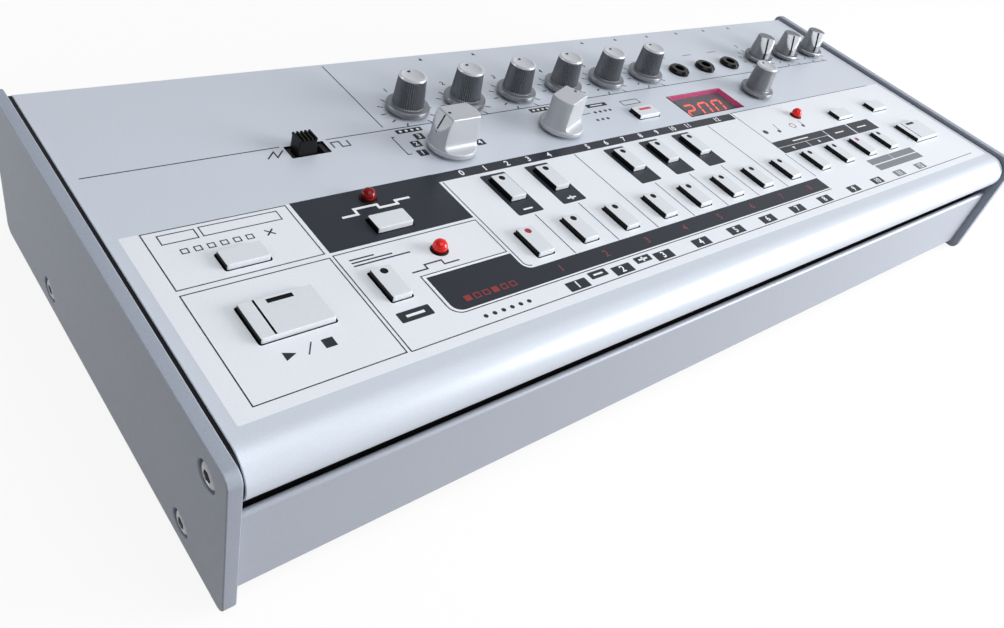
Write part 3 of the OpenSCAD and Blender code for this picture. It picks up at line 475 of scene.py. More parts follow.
def side_plate(name, u, flip):
    """Plate with rounded edges and sunk screw holes; local x is v or its mirror, y is h and z points out."""
    front, back, foot, top, lift = -1.5, 119.4, 123.4, 1.2, 0.8
    corners = [(front, top), (front, down_to(front, lift)), (foot, down_to(foot, lift)), (back, top)]
    outline = rounded([(flip * v, h) for v, h in corners][::flip], 2.5, 8)
    spots = [(flip * v, h) for v, h in SCREWS]
    shape = Shape()
    edge, bevel = 0.3, 0.2
    low = [ring(inset(outline, side), drop) for side, drop in reversed(rim(edge, 3))]
    high = [ring(inset(outline, side), PLATE - drop) for side, drop in rim(edge, 3)]
    shape.rings(low + high, 0, False, False)
    face = inset(outline, edge)
    bores = [circle(radius, 32, *spot) for radius, spot in zip(BORE_R, spots)]
    rooms = [circle(HEAD_ROOM, 40, *spot) for spot in spots]
    mouths = [circle(HEAD_ROOM + bevel, 40, *spot) for spot in spots]
    shape.sheet(face, 0.0, bores)
    shape.sheet(face, PLATE, mouths)
    floor = PLATE - HEAD_DEEP
    for bore, room, mouth in zip(bores, rooms, mouths):
        shape.rings([ring(room, floor), ring(room, PLATE - bevel), ring(mouth, PLATE)], 0, False, False)
        shape.sheet(room, floor, [bore])
        shape.wall(bore, 0.0, floor)
    place = at(u, 0.0) @ Matrix(((0, 0, flip, 0), (flip, 0, 0, 0), (0, 1, 0, 0), (0, 0, 0, 1)))
    shape.piece(name + "_shell", [PLATE_METAL], "dock", place, "plate_aluminium", [name])


def hexagon_reach(angle, flats):
    sector = pi / 3
    return flats / 2 / cos((angle + sector / 2) % sector - sector / 2)


def button_screw(shape, shank_r, length):
    """Domed head with a hexagon socket; its outside is at z = 0 and its shank goes down."""
    count = 48
    profile = [(AXIS_R, -length), (shank_r - 0.3, -length), (shank_r, -length + 0.3), (shank_r, HEAD_UNDER),
               (HEAD_R, HEAD_UNDER), (HEAD_R, -0.95), (2.93, -0.7), (2.72, -0.42), (2.4, -0.2), (2.0, -0.06),
               (1.72, 0.0)]
    rings = [ring(circle(radius, count), z) for radius, z in profile]
    for flats, depth in ((2.66, 0.0), (2.5, -0.1), (2.5, -1.1)):
        rings.append([(*polar(hexagon_reach(angle, flats), angle), depth) for angle in turns(count)])
    shape.rings(rings)


def dock_screws():
    """Screws in the side plates, each with its socket turned another way."""
    sunk = 0.1
    for side, outer in (("left", -SIDE_GAP - PLATE + sunk), ("right", WIDTH + SIDE_GAP + PLATE - sunk)):
        for number, (v, h) in enumerate(SCREWS):
            shape = Shape()
            button_screw(shape, *SHANKS[number])
            turn = Matrix.Rotation(radians(17 + 23 * number), 4, "Z")
            first = side == "left" and number == 0
            shape.piece(f"{side}_screw_{number + 1}", [STEEL], "dock", facing(side, outer, v, h) @ turn,
                        "screw_steel", ["side_screws"] if first else ())


def front_panel():
    """Sheet with a rolled bead along its top, drawn out between the side plates."""
    face, back = 1.3, 2.8
    foot = down_to(face, 3.4)
    bead_v, bead_h, bead_r = 2.2, -15.09, 0.9
    profile = [(back, foot), (back, bead_h - 0.6)] + bend(bead_v, bead_h, bead_r, -40, 180, 11)
    profile += [(face, foot + 0.35), (face + 0.1, foot + 0.1), (face + 0.35, foot)]
    edge = 0.12
    eased = inset(profile, edge)
    left, right = -SIDE_GAP, WIDTH + SIDE_GAP
    sections = ((left, eased), (left + edge, profile), (right - edge, profile), (right, eased))
    levels = [[(u, v, h) for v, h in section] for u, section in sections]
    shape = Shape()
    shape.rings(levels)
    shape.piece("front_panel_sheet", [FRONT_METAL], "dock", PANEL, "front_aluminium", ["front_panel"])


def rubber_feet():
    """Round feet with a rolled edge and a shallow hollow underneath."""
    low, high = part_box("rubber_feet")
    foot_r = 6.0
    reach_x = (high.x - low.x) / 2 / MM - foot_r
    reach_y = (high.y - low.y) / 2 / MM - foot_r
    profile = [(AXIS_R, 0.25), (4.2, 0.25), (4.6, 0.0), (5.5, 0.0), (5.85, 0.15), (foot_r, 0.5),
               (foot_r, 2.6), (5.9, 2.8), (AXIS_R, 2.8)]
    shape = Shape()
    for x in (-reach_x, 0.0, reach_x):
        for y in (-reach_y, reach_y):
            shape.lathe(profile, 40, spot=(x, y))
    middle = (low + high) / 2
    shape.piece("feet", [RUBBER], "dock", Matrix.Translation((middle.x, middle.y, 0.0)), "foot_rubber",
                ["rubber_feet"])


# Panel


def nose_section(angle_out, angle_in, edge):
    """One section of the rolled nose across the panel's width."""
    inner = polar(NOSE_R - SHEET, angle_in, NOSE_R, -NOSE_R)
    middle = polar(NOSE_R - edge, angle_out, NOSE_R, -NOSE_R)
    outer = polar(NOSE_R, angle_out, NOSE_R, -NOSE_R)
    return [(0.0, *inner), (0.0, *middle), (edge, *outer), (WIDTH - edge, *outer), (WIDTH, *middle),
            (WIDTH, *inner)]


def top_panel():
    """Sheet with a rolled front edge and openings for the controls; the walls of the openings are painted
    black as painted shade.
    """
    edge = 0.15
    flat_from = NOSE_R + 0.2
    shape = Shape()
    drop, upright = -4.6, pi / 2
    swing_out = pi - asin(drop / NOSE_R) - upright
    swing_in = pi - asin(drop / (NOSE_R - SHEET)) - upright
    steps = 30
    shares = [1 - step / steps for step in range(steps + 1)]
    levels = [nose_section(upright + swing_out * share, upright + swing_in * share, edge) for share in shares]
    levels.append([(u, flat_from, h) for u, _, h in levels[-1]])
    shape.rings(levels, 0, True, False)
    outer = rectangle(0.0, WIDTH, flat_from, DEPTH)
    top = rectangle(edge, WIDTH - edge, flat_from, DEPTH - edge)
    shape.sheet(top, 0.0, HOLES)
    shape.sheet(outer, -SHEET, HOLES)
    # The walls of the openings are painted black: painted shade inside them.
    for hole in HOLES:
        shape.wall(hole, -SHEET, 0.0, 1)
    edges = [ring(outer, -SHEET), ring(outer, -edge), ring(top, 0.0)]
    for start, end in ((0, 3), (1, 2), (3, 2)):
        for low, high in zip(edges, edges[1:]):
            shape.add([low[start], low[end], high[end], high[start]], [range(4)])
    shape.piece("panel_sheet", [SILVER, BLACK], "module", PANEL, "panel_paint", ["top_panel"])


FIELD_H = 0.02
INK_H = 0.04
OVER_H = 0.06
LINE = 0.26


class Print(Shape):
    """Flat print on the panel, up to one height."""

    def __init__(self, top):
        super().__init__()
        self.top = top

    def fill(self, outline, holes=()):
        self.prism(outline, 0.0, self.top, holes)

    def hoop(self, outline, width=LINE):
        """Closed line, inside the outline."""
        self.fill(outline, [inset(outline, width)])

    def area(self, u0, u1, v0, v1, radius=0.0, steps=3):
        outline = rectangle(u0, u1, v0, v1)
        if radius:
            outline = rounded(outline, radius, steps)
        self.fill(outline, holes_in(u0, u1, v0, v1))

    def box(self, u0, u1, v0, v1, width=LINE):
        self.hoop(rectangle(u0, u1, v0, v1), width)

    def line(self, *points, width=LINE):
        """Open line with mitred bends."""
        left, right = [], []
        for i, point in enumerate(points):
            here = Vector(point)
            before = (here - Vector(points[i - 1])).normalized() if i else None
            after = (Vector(points[i + 1]) - here).normalized() if i + 1 < len(points) else None
            step = mitre(before or after, after or before, width / 2)
            left.append(tuple(here + step))
            right.append(tuple(here - step))
        self.fill(left + right[::-1])

    def dot(self, u, v, radius=0.55):
        self.fill(circle(radius, 16, u, v))

    def arrow(self, u, v, size, direction):
        """Small triangle that points along a direction in degrees."""
        corners = [(size, 0.0), (-0.6 * size, 0.75 * size), (-0.6 * size, -0.75 * size)]
        turn = Matrix.Rotation(radians(direction), 2)
        points = [turn @ Vector(corner) for corner in corners]
        self.fill([(u + p.x, v + p.y) for p in points])

    def number(self, text, u, v, size, bold=0.012):
        """Plain numerals, centred on a place."""
        curve = bpy.data.curves.new("figures", "FONT")
        curve.body = text
        curve.size = size
        curve.align_x = "CENTER"
        curve.align_y = "CENTER"
        level = self.top / 2
        curve.extrude = level
        curve.resolution_u = 3
        curve.offset = bold * size
        holder = bpy.data.objects.new("figures", curve)
        mesh = holder.to_mesh()
        spots = [vertex.co for vertex in mesh.vertices]
        points = [(u + spot.x, v + spot.y, level + spot.z) for spot in spots]
        self.add(points, [tuple(face.vertices) for face in mesh.polygons])
        holder.to_mesh_clear()
        bpy.data.objects.remove(holder)
        bpy.data.curves.remove(curve)

    def ticks(self, u, v):
        """Scale round a knob."""
        inner, outer = 6.4, 8.0
        for angle in range(-60, 241, 30):
            way = Vector((cos(radians(angle)), sin(radians(angle))))
            here = Vector((u, v))
            self.line(tuple(here + way * inner), tuple(here + way * outer), width=0.35)


WHITE_U = [85.0 + 15.0 * i for i in range(8)]
BLACK_U = [92.5, 107.5, 137.5, 152.5, 167.5]
STEP_U = [207.4 + 15.0 * i for i in range(4)]
TRACK_SPOTS = [(80.1, 70.7), (80.7, 74.7), (83.5, 77.6), (98.7, 70.7)]
REAR_MARKS = (107.9, 127.8, 175.8, 192.6, 209.7, 226.7, 243.6, 259.8)


def print_layer(name, material, top, *drawings):
    """One flat piece of print, from the functions that draw it."""
    ink = Print(top)
    for draw in drawings:
        draw(ink)
    ink.piece(name, [material], "module", PANEL, "panel_paint")


def draw_field(ink):
    """Pale lower half of the panel."""
    ink.area(2.5, WIDTH - 2.5, 9.0, 61.5, 0.4, 2)


def draw_frames(ink):
    """Long lines, boxes and dark blocks."""
    ink.line((2.5, 82.5), (46.6, 82.5))
    ink.line((59.0, 82.5), (290.0, 82.5))
    ink.line((76.2, 83.9), (76.2, 115.9))
    ink.line((38.6, 11.6), (290.0, 11.6))
    ink.line((76.4, 29.7), (76.4, 42.3), (38.6, 42.3), (38.6, 11.6))
    for box in ((6.4, 37.5, 43.4, 61.4), (6.4, 37.8, 11.7, 42.1), (9.1, 16.7, 56.9, 60.0),
                (17.5, 34.8, 57.0, 60.2)):
        ink.box(*box)
    ink.area(38.5, 76.6, 43.3, 61.6)
    ink.area(76.6, 198.5, 58.2, 61.5)
    ink.area(41.25, 49.1, 18.9, 21.9, 0.3)
    ink.fill([(53.4, 28.9)] + bend(55.9, 19.8, 2.5, 180, 270) + [(198.3, 17.3), (198.3, 22.7)]
             + bend(79.2, 25.1, 2.4, 270, 180) + [(76.8, 28.9)])
    ink.line((76.4, 29.7), (52.5, 29.7), *bend(55.4, 19.6, 2.9, 180, 270), (198.4, 16.7))


def step_plates(ink, places):
    """Number plates in front of step buttons."""
    for u in places:
        ink.area(u - 2.8, u + 3.2, 12.4, 15.3, 0.2)


def draw_keyboard(ink):
    """Outlines of the keys, and the plates round the black keys."""
    ink.line((77.6, 57.8), *bend(79.2, 25.1, 1.6, 180, 270))
    for k in range(1, 8):
        u = 77.7 + 15.0 * k
        top = 39.0 if any(abs(u - black) < 4.0 for black in BLACK_U) else 57.8
        ink.line((u, 23.0), (u, top))
    ink.line((290.0, 61.55), (199.5, 61.55), (199.5, 43.0))
    ink.line((199.0, 36.4), (199.0, 23.6))
    for u in BLACK_U:
        ink.area(u - 4.2, u + 4.0, 39.8, 57.0, 0.5)
    for u in WHITE_U:
        ink.area(u - 2.85, u + 3.45, 12.2, 15.2, 0.2)
    step_plates(ink, STEP_U[:2])
    ink.area(90.0, 95.5, 13.7, 16.0, 0.2)
    ink.area(105.6, 111.0, 13.6, 15.8, 0.2)
    for plate in ((199.4, 229.8, 39.9, 43.0), (199.4, 215.2, 36.7, 39.7), (215.6, 229.2, 36.7, 39.7),
                  (230.3, 245.3, 36.8, 43.0), (246.0, 260.8, 36.8, 43.0)):
        ink.area(*plate)


def draw_scales(ink):
    """Ticks, numbers and plates round the knobs and selectors."""
    for number, node in enumerate(TONE_KNOBS + EFFECT_KNOBS):
        u, v = centre(node)
        ink.ticks(u, v)
        ink.number(str(number + 1), u, 100.4, 2.6)
    for u, _ in JACKS:
        ink.line((u - 2.4, 98.9), (u + 2.4, 98.9))
    ink.area(78.4, 86.3, 80.0, 81.7, 0.2)
    for u, v in TRACK_SPOTS:
        ink.area(u - 1.4, u + 1.4, v - 1.3, v + 1.3, 0.2)
    ink.line((76.7, 79.0), (75.9, 79.0), (75.9, 71.0), (77.1, 71.0))
    ink.area(124.6, 132.4, 79.7, 81.6, 0.2)
    ink.area(145.8, 154.3, 77.4, 79.1, 0.2)
    ink.line((140.8, 74.6), (144.5, 74.8))
    for count, u, v in ((4, 146.5, 74.8), (3, 144.1, 70.9)):
        for offset in range(count):
            ink.dot(u + 2.2 * offset, v)
    ink.box(160.3, 168.3, 75.6, 78.2)
    for u in REAR_MARKS:
        ink.arrow(u, 114.3, 0.9, 90)


def draw_signs(ink):
    """Small signs where the object has words."""
    ink.line((42.0, 78.6), (44.4, 81.0), (44.4, 78.6), (46.8, 81.0), width=0.35)
    ink.line((59.4, 78.7), (59.4, 81.0), (61.6, 81.0), (61.6, 78.7), (63.8, 78.7), (63.8, 81.0), width=0.35)
    for offset in range(6):
        ink.box(11.6 + 2.7 * offset, 13.2 + 2.7 * offset, 53.1, 54.7)
    ink.line((29.4, 53.0), (31.2, 54.8), width=0.35)
    ink.line((29.4, 54.8), (31.2, 53.0), width=0.35)
    ink.arrow(17.4, 20.2, 1.5, 0)
    ink.line((20.8, 18.9), (22.6, 21.7))
    ink.area(24.4, 26.8, 19.0, 21.4)
    for row in range(3):
        ink.line((41.0, 37.7 + row), (55.0 - 4.0 * row, 37.7 + row), width=0.4)
    ink.line((51.5, 31.4), (55.5, 31.4), (55.5, 32.8), (60.0, 32.8), (60.0, 31.4), (64.0, 31.4), width=0.4)
    for offset in range(6):
        ink.dot(58.6 + 2.4 * offset, 13.9)
    ink.dot(203.4, 48.6, 1.1)
    ink.dot(210.0, 47.5, 0.75)
    ink.line((210.7, 47.6), (211.3, 51.6))
    ink.hoop(circle(1.4, 24, 219.6, 48.7))
    ink.dot(224.5, 47.5, 0.75)
    ink.line((225.2, 47.6), (225.2, 50.6))


def draw_grey(ink):
    """Plates under the right-hand step buttons, charcoal in fact, printed in a lighter grey as a painted
    highlight of the glare on that side.
    """
    for plate in ((230.3, 244.9, 20.6, 23.4), (245.3, 261.1, 20.6, 23.4), (230.8, 261.2, 17.3, 20.1)):
        ink.area(*plate)
    step_plates(ink, STEP_U[2:])


def draw_white(ink):
    """White signs and numbers on the dark print."""
    ink.line((76.4, 29.35), (52.95, 29.35), *bend(55.6, 19.7, 2.65, 180, 270), (198.3, 17.05), width=0.4)
    for number, u in enumerate(sorted(WHITE_U + BLACK_U)):
        ink.number(str(number), u - 0.2, 59.85, 2.8, 0.022)
    for number, u in enumerate(WHITE_U + STEP_U):
        ink.number(str(number + 1), u + 0.25, 13.75, 2.9, 0.022)
    for number, (u, v) in enumerate(TRACK_SPOTS):
        ink.number(str(number + 1), u, v, 2.4, 0.02)
    for offset in range(4):
        ink.dot(79.7 + 1.8 * offset, 80.85, 0.45)
        ink.dot(126.0 + 1.8 * offset, 80.65, 0.45)
    ink.line((147.4, 78.25), (152.6, 78.25), width=0.45)
    ink.line((47.0, 53.2), (51.0, 53.2), (51.0, 55.2), (57.0, 55.2), (57.0, 53.9), (62.0, 53.9), (62.0, 55.2),
             (66.0, 55.2), width=0.7)
    ink.line((43.0, 20.4), (47.4, 20.4), width=0.7)
    minus = [(BLACK_U[0], 41.6), (92.75, 14.85)]
    plus = [(BLACK_U[1], 41.6), (108.3, 14.7)]
    for u, v in minus + plus:
        ink.line((u - 1.5, v), (u + 1.5, v), width=0.55)
    for u, v in plus:
        ink.line((u, v - 0.8), (u, v + 0.8), width=0.55)
    ink.arrow(206.5, 38.3, 0.9, 270)
    ink.arrow(221.8, 38.3, 0.9, 90)
    for u0, u1, v in ((210.0, 219.0, 41.4), (234.5, 240.0, 39.9), (249.5, 255.5, 39.9)):
        ink.line((u0, v), (u1, v), width=0.5)


def draw_faint(ink):
    """Faint red numbers along the dark strip."""
    for number, u in enumerate(WHITE_U):
        ink.number(str(number + 1), u + 0.3, 19.9, 3.2)


def draw_red(ink):
    """Row of squares on the dark block."""
    for offset in range(6):
        u = 57.4 + 2.5 * offset
        if offset % 3:
            ink.box(u, u + 1.7, 19.2, 20.9, 0.3)
        else:
            ink.area(u, u + 1.7, 19.2, 20.9)


# Controls


def cap_marks(node, width, depth):
    """Sunk marks of a cap's top: outline, paint number and depth."""
    if node in LARGE:
        # The black inside the long groove by the left end is painted shade.
        return [(rectangle(-2.4, 3.05, 3.15, 4.3), 1, 0.2),
                (rectangle(-4.85, -4.4, -depth / 2 + 0.25, depth / 2 - 0.25), 1, 0.4)]
    if node == "tempo_button":
        return [(rectangle(-2.4, 2.9, 0.2, 1.3), 3, 0.06)]
    if width < depth:
        return [(circle(0.9, 24, 0.15, 3.1), 2 if node in LIT_KEYS else 1, 0.1)]
    return []


def button_cap(node):
    """Cap with an eased top edge, on a flange and stem under the panel; its left and right ends and all of it
    below the panel are painted black as painted shade.
    """
    width, depth, height = button_size(node)
    lean, edge, steep = 0.05, 0.15, 0.75
    stem_r, stem_low, flange_low, flange_top = 2.6, -6.0, -2.5, -1.5
    outline = rounded_block(width, depth, 0.5)
    flange = rounded_block(width + 2 * CAP_FLANGE, depth + 2 * CAP_FLANGE, 0.5)
    shape = Shape()
    skirt = [ring(flange, flange_low), ring(flange, flange_top), ring(outline, flange_top),
             ring(outline, 0.0)]
    sides = [ring(inset(outline, lean + side), height - drop) for side, drop in rim(edge)]
    # Everything below the panel is painted black: painted shade in the gap round the cap.
    shape.rings(skirt, 1, True, False)
    shape.rings(skirt[-1:] + sides, 0, False, False)
    # The left and right ends are painted black too: painted shade on the ends.
    shape.repaint(1, lambda normal: abs(normal.x) > steep)
    shape.lathe([(stem_r, stem_low), (stem_r, flange_low)], 24)
    marks = cap_marks(node, width, depth)
    shape.sheet(inset(outline, lean + edge), height, [mark for mark, paint, deep in marks])
    for mark, paint, deep in marks:
        shape.recess(mark, height, deep, paint)
    shape.piece(node + "_cap", [KEY, BLACK, DOT_ON, TEMPO_RED], node, at(*centre(node)), "key_silver", [node])


KNOB_NECK = 2.5
KNOB_COUNT = 144
KNOB_CREASE = 18.0


def knurl(ribs, depth, low, high):
    """Ribs between two heights."""
    def swell(angle, radius, height):
        if low < height < high:
            return radius - depth * (0.5 - 0.5 * cos(ribs * angle))
        return radius
    return swell


def flange_profile(radius):
    """Spindle and flange under a knob's body."""
    low, high, spindle_r, end = 1.1, KNOB_NECK, 3.0, -8.1
    return [(AXIS_R, end), (spindle_r, end), (spindle_r, low), (radius - 0.1, low), (radius, low + 0.1),
            (radius, high - 0.42), (radius - 0.1, high - 0.16), (radius - 0.32, high - 0.03),
            (radius - 0.5, high)]


def round_knob(node, ribbed):
    """Tapered body on a wide flange, with a dished top and a pointer dot."""
    shape = Shape()
    foot = flange_profile(6.0) + [(4.5, KNOB_NECK)]
    body = [(4.5, KNOB_NECK), (4.42, 2.6), (4.4, 2.7), (4.2, 5.1), (4.0, 7.6), (3.82, 9.9), (3.78, 10.4)]
    crown = [(3.78, 10.4), (3.76, 10.68), (3.66, 10.9), (3.45, 11.0), (2.95, 11.0), (2.8, 10.92),
             (2.0, 10.74), (AXIS_R, 10.66)]
    ribs = 44
    count = 4 * ribs if ribbed else 72
    shape.lathe(foot, 96, 3)
    shape.lathe(body, count, 0, knurl(ribs, 0.34, 2.65, 10.35) if ribbed else None)
    shape.lathe(crown, count, 1)
    shape.prism(circle(0.5, 20, 0.0, 2.2), 10.6, 10.84, (), 2)
    shape.piece(node + "_grip", [KNOB, KNOB_TOP, BLACK, KNOB_FLANGE], node, at(*centre(node)), "knob_silver",
                [node])


def soft_least(values):
    """Least of some radii, with the meeting edges a little rounded."""
    power = 200.0
    return sum(value ** -power for value in values) ** (-1.0 / power)


@dataclass
class SlantedKnob:
    """Form of a knob whose round body is cut by a slanted face on the pointer's side."""
    flange_r: float
    body_r: float
    top_r: float
    height: float
    slant_from: float
    slant_r: float
    ridge_r: float
    bar: float = 0.0

    def cone(self, z):
        share = (z - KNOB_NECK) / (self.height - KNOB_NECK)
        return self.body_r + (self.top_r - self.body_r) * share

    def flank(self, z):
        """Half the bar's width, with a fillet at its foot."""
        fillet = 1.6
        rise = KNOB_NECK + fillet - z
        if rise <= 0.0:
            return self.bar / 2
        return self.bar / 2 + fillet - sqrt(fillet ** 2 - rise ** 2)

    def slant(self, z):
        share = (z - self.slant_from) / (self.height - self.slant_from)
        return self.slant_r + (self.ridge_r - self.slant_r) * share

    def reach(self, angle, z):
        limits = [self.cone(z)]
        if self.bar:
            limits.append(self.flank(z) / max(1e-3, abs(sin(angle))))
        if z > self.slant_from and cos(angle) > 1e-3:
            limits.append(self.slant(z) / cos(angle))
        return soft_least(limits)

    def level(self, z, side=0.0):
        return [polar(self.reach(angle, z) - side, angle) for angle in turns(KNOB_COUNT)]

    def skin(self, shape):
        rings = [ring(circle(radius, KNOB_COUNT), z) for radius, z in flange_profile(self.flange_r)[:-1]]
        heights = [KNOB_NECK + rise for rise in (0.02, 0.1, 0.22, 0.4, 0.65, 1.0, 1.3, 1.6)]
        heights += [heights[-1] + (self.slant_from - heights[-1]) * step / 3 for step in (1, 2, 3)]
        last = self.height - 0.3
        heights += [self.slant_from + (last - self.slant_from) * step / 8 for step in range(1, 9)]
        rings += [ring(self.level(z), z) for z in heights]
        for side, drop in ((0.06, 0.18), (0.16, 0.07), (0.34, 0.03)):
            rings.append(ring(self.level(self.height, side), self.height - drop))
        shape.rings(rings)

    def mark(self, shape, half, heights):
        """Dark line down the pointer's side."""
        lift, sink = 0.04, 0.3
        rows = []
        for z in heights:
            x = self.reach(0.0, z)
            rows.append(ring([(x + lift, -half), (x + lift, half), (x - sink, half), (x - sink, -half)], z))
        shape.rings(rows, 1)


def selector(node, pointing):
    """Bar on a round skirt, with a thin line on its slanted face and a dot on top."""
    form = SlantedKnob(flange_r=6.6, body_r=6.3, top_r=5.7, height=11.4, slant_from=6.27, slant_r=6.3,
                       ridge_r=4.0, bar=7.0)
    shape = Shape()
    form.skin(shape)
    form.mark(shape, 0.25, (6.4, 7.5, 9.0, 10.5, 11.0))
    shape.prism(circle(0.45, 20, form.ridge_r - 1.1, 0.0), form.height - 0.2, form.height - 0.005, (), 1)
    shape.piece(node + "_grip", [SELECTOR, BLACK], node, at(*centre(node), 0.0, pointing), "knob_silver",
                [node], KNOB_CREASE)


def pointer_knob(node, pointing):
    """Round body on a flange, with a line from its slanted face down to the foot."""
    form = SlantedKnob(flange_r=5.5, body_r=4.2, top_r=3.4, height=9.8, slant_from=4.69, slant_r=3.96,
                       ridge_r=1.4)
    shape = Shape()
    form.skin(shape)
    shape.repaint(2, lambda normal: normal.z > 0.25 and normal.x > 0.5)
    form.mark(shape, 0.35, (2.6, 3.4, 4.4, 4.9, 6.0, 7.5, 9.0, 9.5))
    shape.piece(node + "_grip", [KNOB, BLACK, KNOB_TOP], node, at(*centre(node), 0.0, pointing),
                "knob_silver", [node], KNOB_CREASE)


def waveform_slider():
    """Black lever with a ridged, slightly tapered top, on a tongue in the slot."""
    node = "waveform_slider"
    low, high = panel_box(node)
    width, depth, top = high[0] - low[0], high[1] - low[1], high[2]
    taper, foot, saddle = 0.94, -0.3, top - 0.6
    outline = rounded_block(width, depth, 0.3)
    narrow = rounded_block(taper * width, taper * depth, 0.3)
    shape = Shape()
    shape.prism(rounded_block(4.8, 3.2, 0.3), low[2], foot)
    shape.rings([ring(outline, foot), ring(outline, foot + 0.3), ring(narrow, saddle)])
    rib_w = taper * width / 9
    reach = taper * depth / 2
    for i in range(-2, 3):
        rib = rectangle((2 * i - 0.5) * rib_w, (2 * i + 0.5) * rib_w, 0.05 - reach, reach - 0.05)
        shape.rings([ring(rib, saddle - 0.2), ring(rib, top - 0.12), ring(inset(rib, 0.1), top)])
    shape.piece("waveform_lever", [BLACK], node, at(*centre(node)), "control_black", [node])


def mode_lamps():
    """Round lights on a small dark rim; the first one is out, though it keeps a faint painted glow."""
    ball_r, ball_h = 1.75, 1.15
    stem = [(AXIS_R, -10.4), (2.1, -10.4), (2.1, 0.2), (2.0, 0.3), (1.6, 0.32)]
    ball = bend(0.0, ball_h, ball_r, -28, 84, 16) + [(AXIS_R, ball_h + ball_r)]
    for number, spot in enumerate(LAMPS):
        shape = Shape()
        shape.lathe(stem, 40, 1)
        shape.lathe(ball, 40)
        shape.piece(f"lamp_{number + 1}", [LAMP_ON if number else LAMP_OFF, BLACK], "module", at(*spot),
                    "led_red", () if number else ["mode_leds"])


SEGMENTS = {"0": "abcdef", "2": "abged"}
STROKES = {"a": ((-1, 1), (1, 1)), "b": ((1, 0), (1, 1)), "c": ((1, -1), (1, 0)), "d": ((-1, -1), (1, -1)),
           "e": ((-1, -1), (-1, 0)), "f": ((-1, 0), (-1, 1)), "g": ((-1, 0), (1, 0))}


def digit(shape, text, u, v, low, high):
    """Leaning seven-segment figure."""
    half_w, half_h, thick, lean, gap = 2.1, 3.15, 0.42, 0.3, 0.15
    for segment in SEGMENTS[text]:
        start, end = (Vector((half_w * x, half_h * y)) for x, y in STROKES[segment])
        way = (end - start).normalized()
        side = Vector((-way.y, way.x)) * thick
        start, end = start + way * gap, end - way * gap
        points = [start, start + way * thick - side, end - way * thick - side, end, end - way * thick + side,
                  start + way * thick + side]
        shape.prism([(u + p.x + lean * p.y, v + p.y) for p in points], low, high)


def display():
    """Sunk window with near edges painted black as painted shade, magenta far walls with a painted glow, a
    grey floor, lit figures and a clear pane.
    """
    floor, lip, wall, left, front = -1.58, -0.02, 0.3, 0.6, 0.45
    u1, v1 = (size / 2 - 0.1 for size in DISPLAY_SIZE)
    u0, v0 = -u1, -v1
    inner = rectangle(u0 + left, u1 - wall, v0 + front, v1 - wall)
    place = at(*DISPLAY_AT)
    shape = Shape()
    # Front and left walls: painted black, painted shade along the near edges.
    shape.prism([(u0, v0), (u1, v0), (u1, v0 + front), (u0 + left, v0 + front), (u0 + left, v1), (u0, v1)],
                floor, lip, (), 2)
    # Far walls: magenta with a painted glow, standing in for light that does not reach them.
    shape.prism([(u1, v0 + front), (u1, v1), (u0 + left, v1), (u0 + left, v1 - wall), (u1 - wall, v1 - wall),
                 (u1 - wall, v0 + front)], floor, lip)
    shape.sheet(inner, floor, (), 1)
    shape.piece("display_frame", [WINDOW_RED, WINDOW_FLOOR, BLACK], "module", place, "display_red",
                ["display_window"])
    shape = Shape()
    for number, text in enumerate("200"):
        digit(shape, text, -8.0 + 7.3 * number, -1.3, floor + 0.02, floor + 0.12)
    shape.piece("display_digits", [DIGIT], "module", place, "led_red")
    shape = Shape()
    shape.prism(inset(inner, 0.02), -0.3, -0.15)
    shape.piece("display_pane", [PANE], "module", place, "display_red")


def jack_nuts():
    """Glossy round nuts of the mini jacks on the panel."""
    profile = [(1.78, -1.0), (1.78, 1.05), (1.95, 1.35), (2.25, 1.48), (2.75, 1.5), (3.3, 1.38), (3.65, 1.02),
               (3.8, 0.5), (3.8, 0.0), (3.0, -0.02), (2.9, -1.0)]
    for number, spot in enumerate(JACKS):
        shape = Shape()
        shape.lathe(profile, closed=True)
        shape.piece(f"panel_jack_nut_{number + 1}", [GLOSS_BLACK], "module", at(*spot), "socket_black")


def side_seals():
    """Black strips that fill the gaps between the module and the plates: painted shade in those gaps."""
    outer_r, inner_r = NOSE_R - 0.25, NOSE_R - 3.25
    outline = bend(NOSE_R, -NOSE_R, outer_r, 228, 90, 20) + [(DEPTH, -0.25), (DEPTH, -3.25)]
    outline += bend(NOSE_R, -NOSE_R, inner_r, 90, 228, 20)
    shape = Shape()
    for u0, u1 in ((-0.95, -0.03), (WIDTH + 0.03, WIDTH + 0.95)):
        shape.rings([[(u, v, h) for v, h in outline] for u in (u0, u1)])
    shape.piece("side_seals", [BLACK], "module", PANEL, "case_plastic")


DIN_U = (108.0, 128.0)
VOLUME_U = 225.0
USB_U = 241.0


def din_inserts():
    """Insulating discs with five contacts inside the two round sockets."""
    face, back = -2.0, -4.5
    for number, u in enumerate(DIN_U):
        shape = Shape()
        pins = [circle(0.75, 16, *spot) for spot in bend(0.0, 0.0, 3.4, 0, 180, 4)]
        outline = circle(6.7, 48)
        shape.sheet(outline, face, pins)
        shape.sheet(outline, back)
        shape.wall(outline, back, face)
        for pin in pins:
            shape.recess(pin, face, 1.8, 1)
        shape.prism(rounded_block(2.4, 1.3, 0.3, 0.0, -6.0), face, -0.4)
        shape.piece(f"din_insert_{number + 1}", [BLACK, POT_METAL], "module", facing("back", u),
                    "socket_black")


def usb_tongue():
    """Tongue with a contact strip inside the small port."""
    shape = Shape()
    shape.prism(rounded_block(5.4, 0.8, 0.2), -4.5, -0.8)
    shape.prism(rounded_block(4.6, 0.1, 0.03, 0.0, 0.42), -4.0, -1.0, (), 1)
    shape.piece("usb_tongue", [BLACK, POT_METAL], "module", facing("back", USB_U), "socket_black")


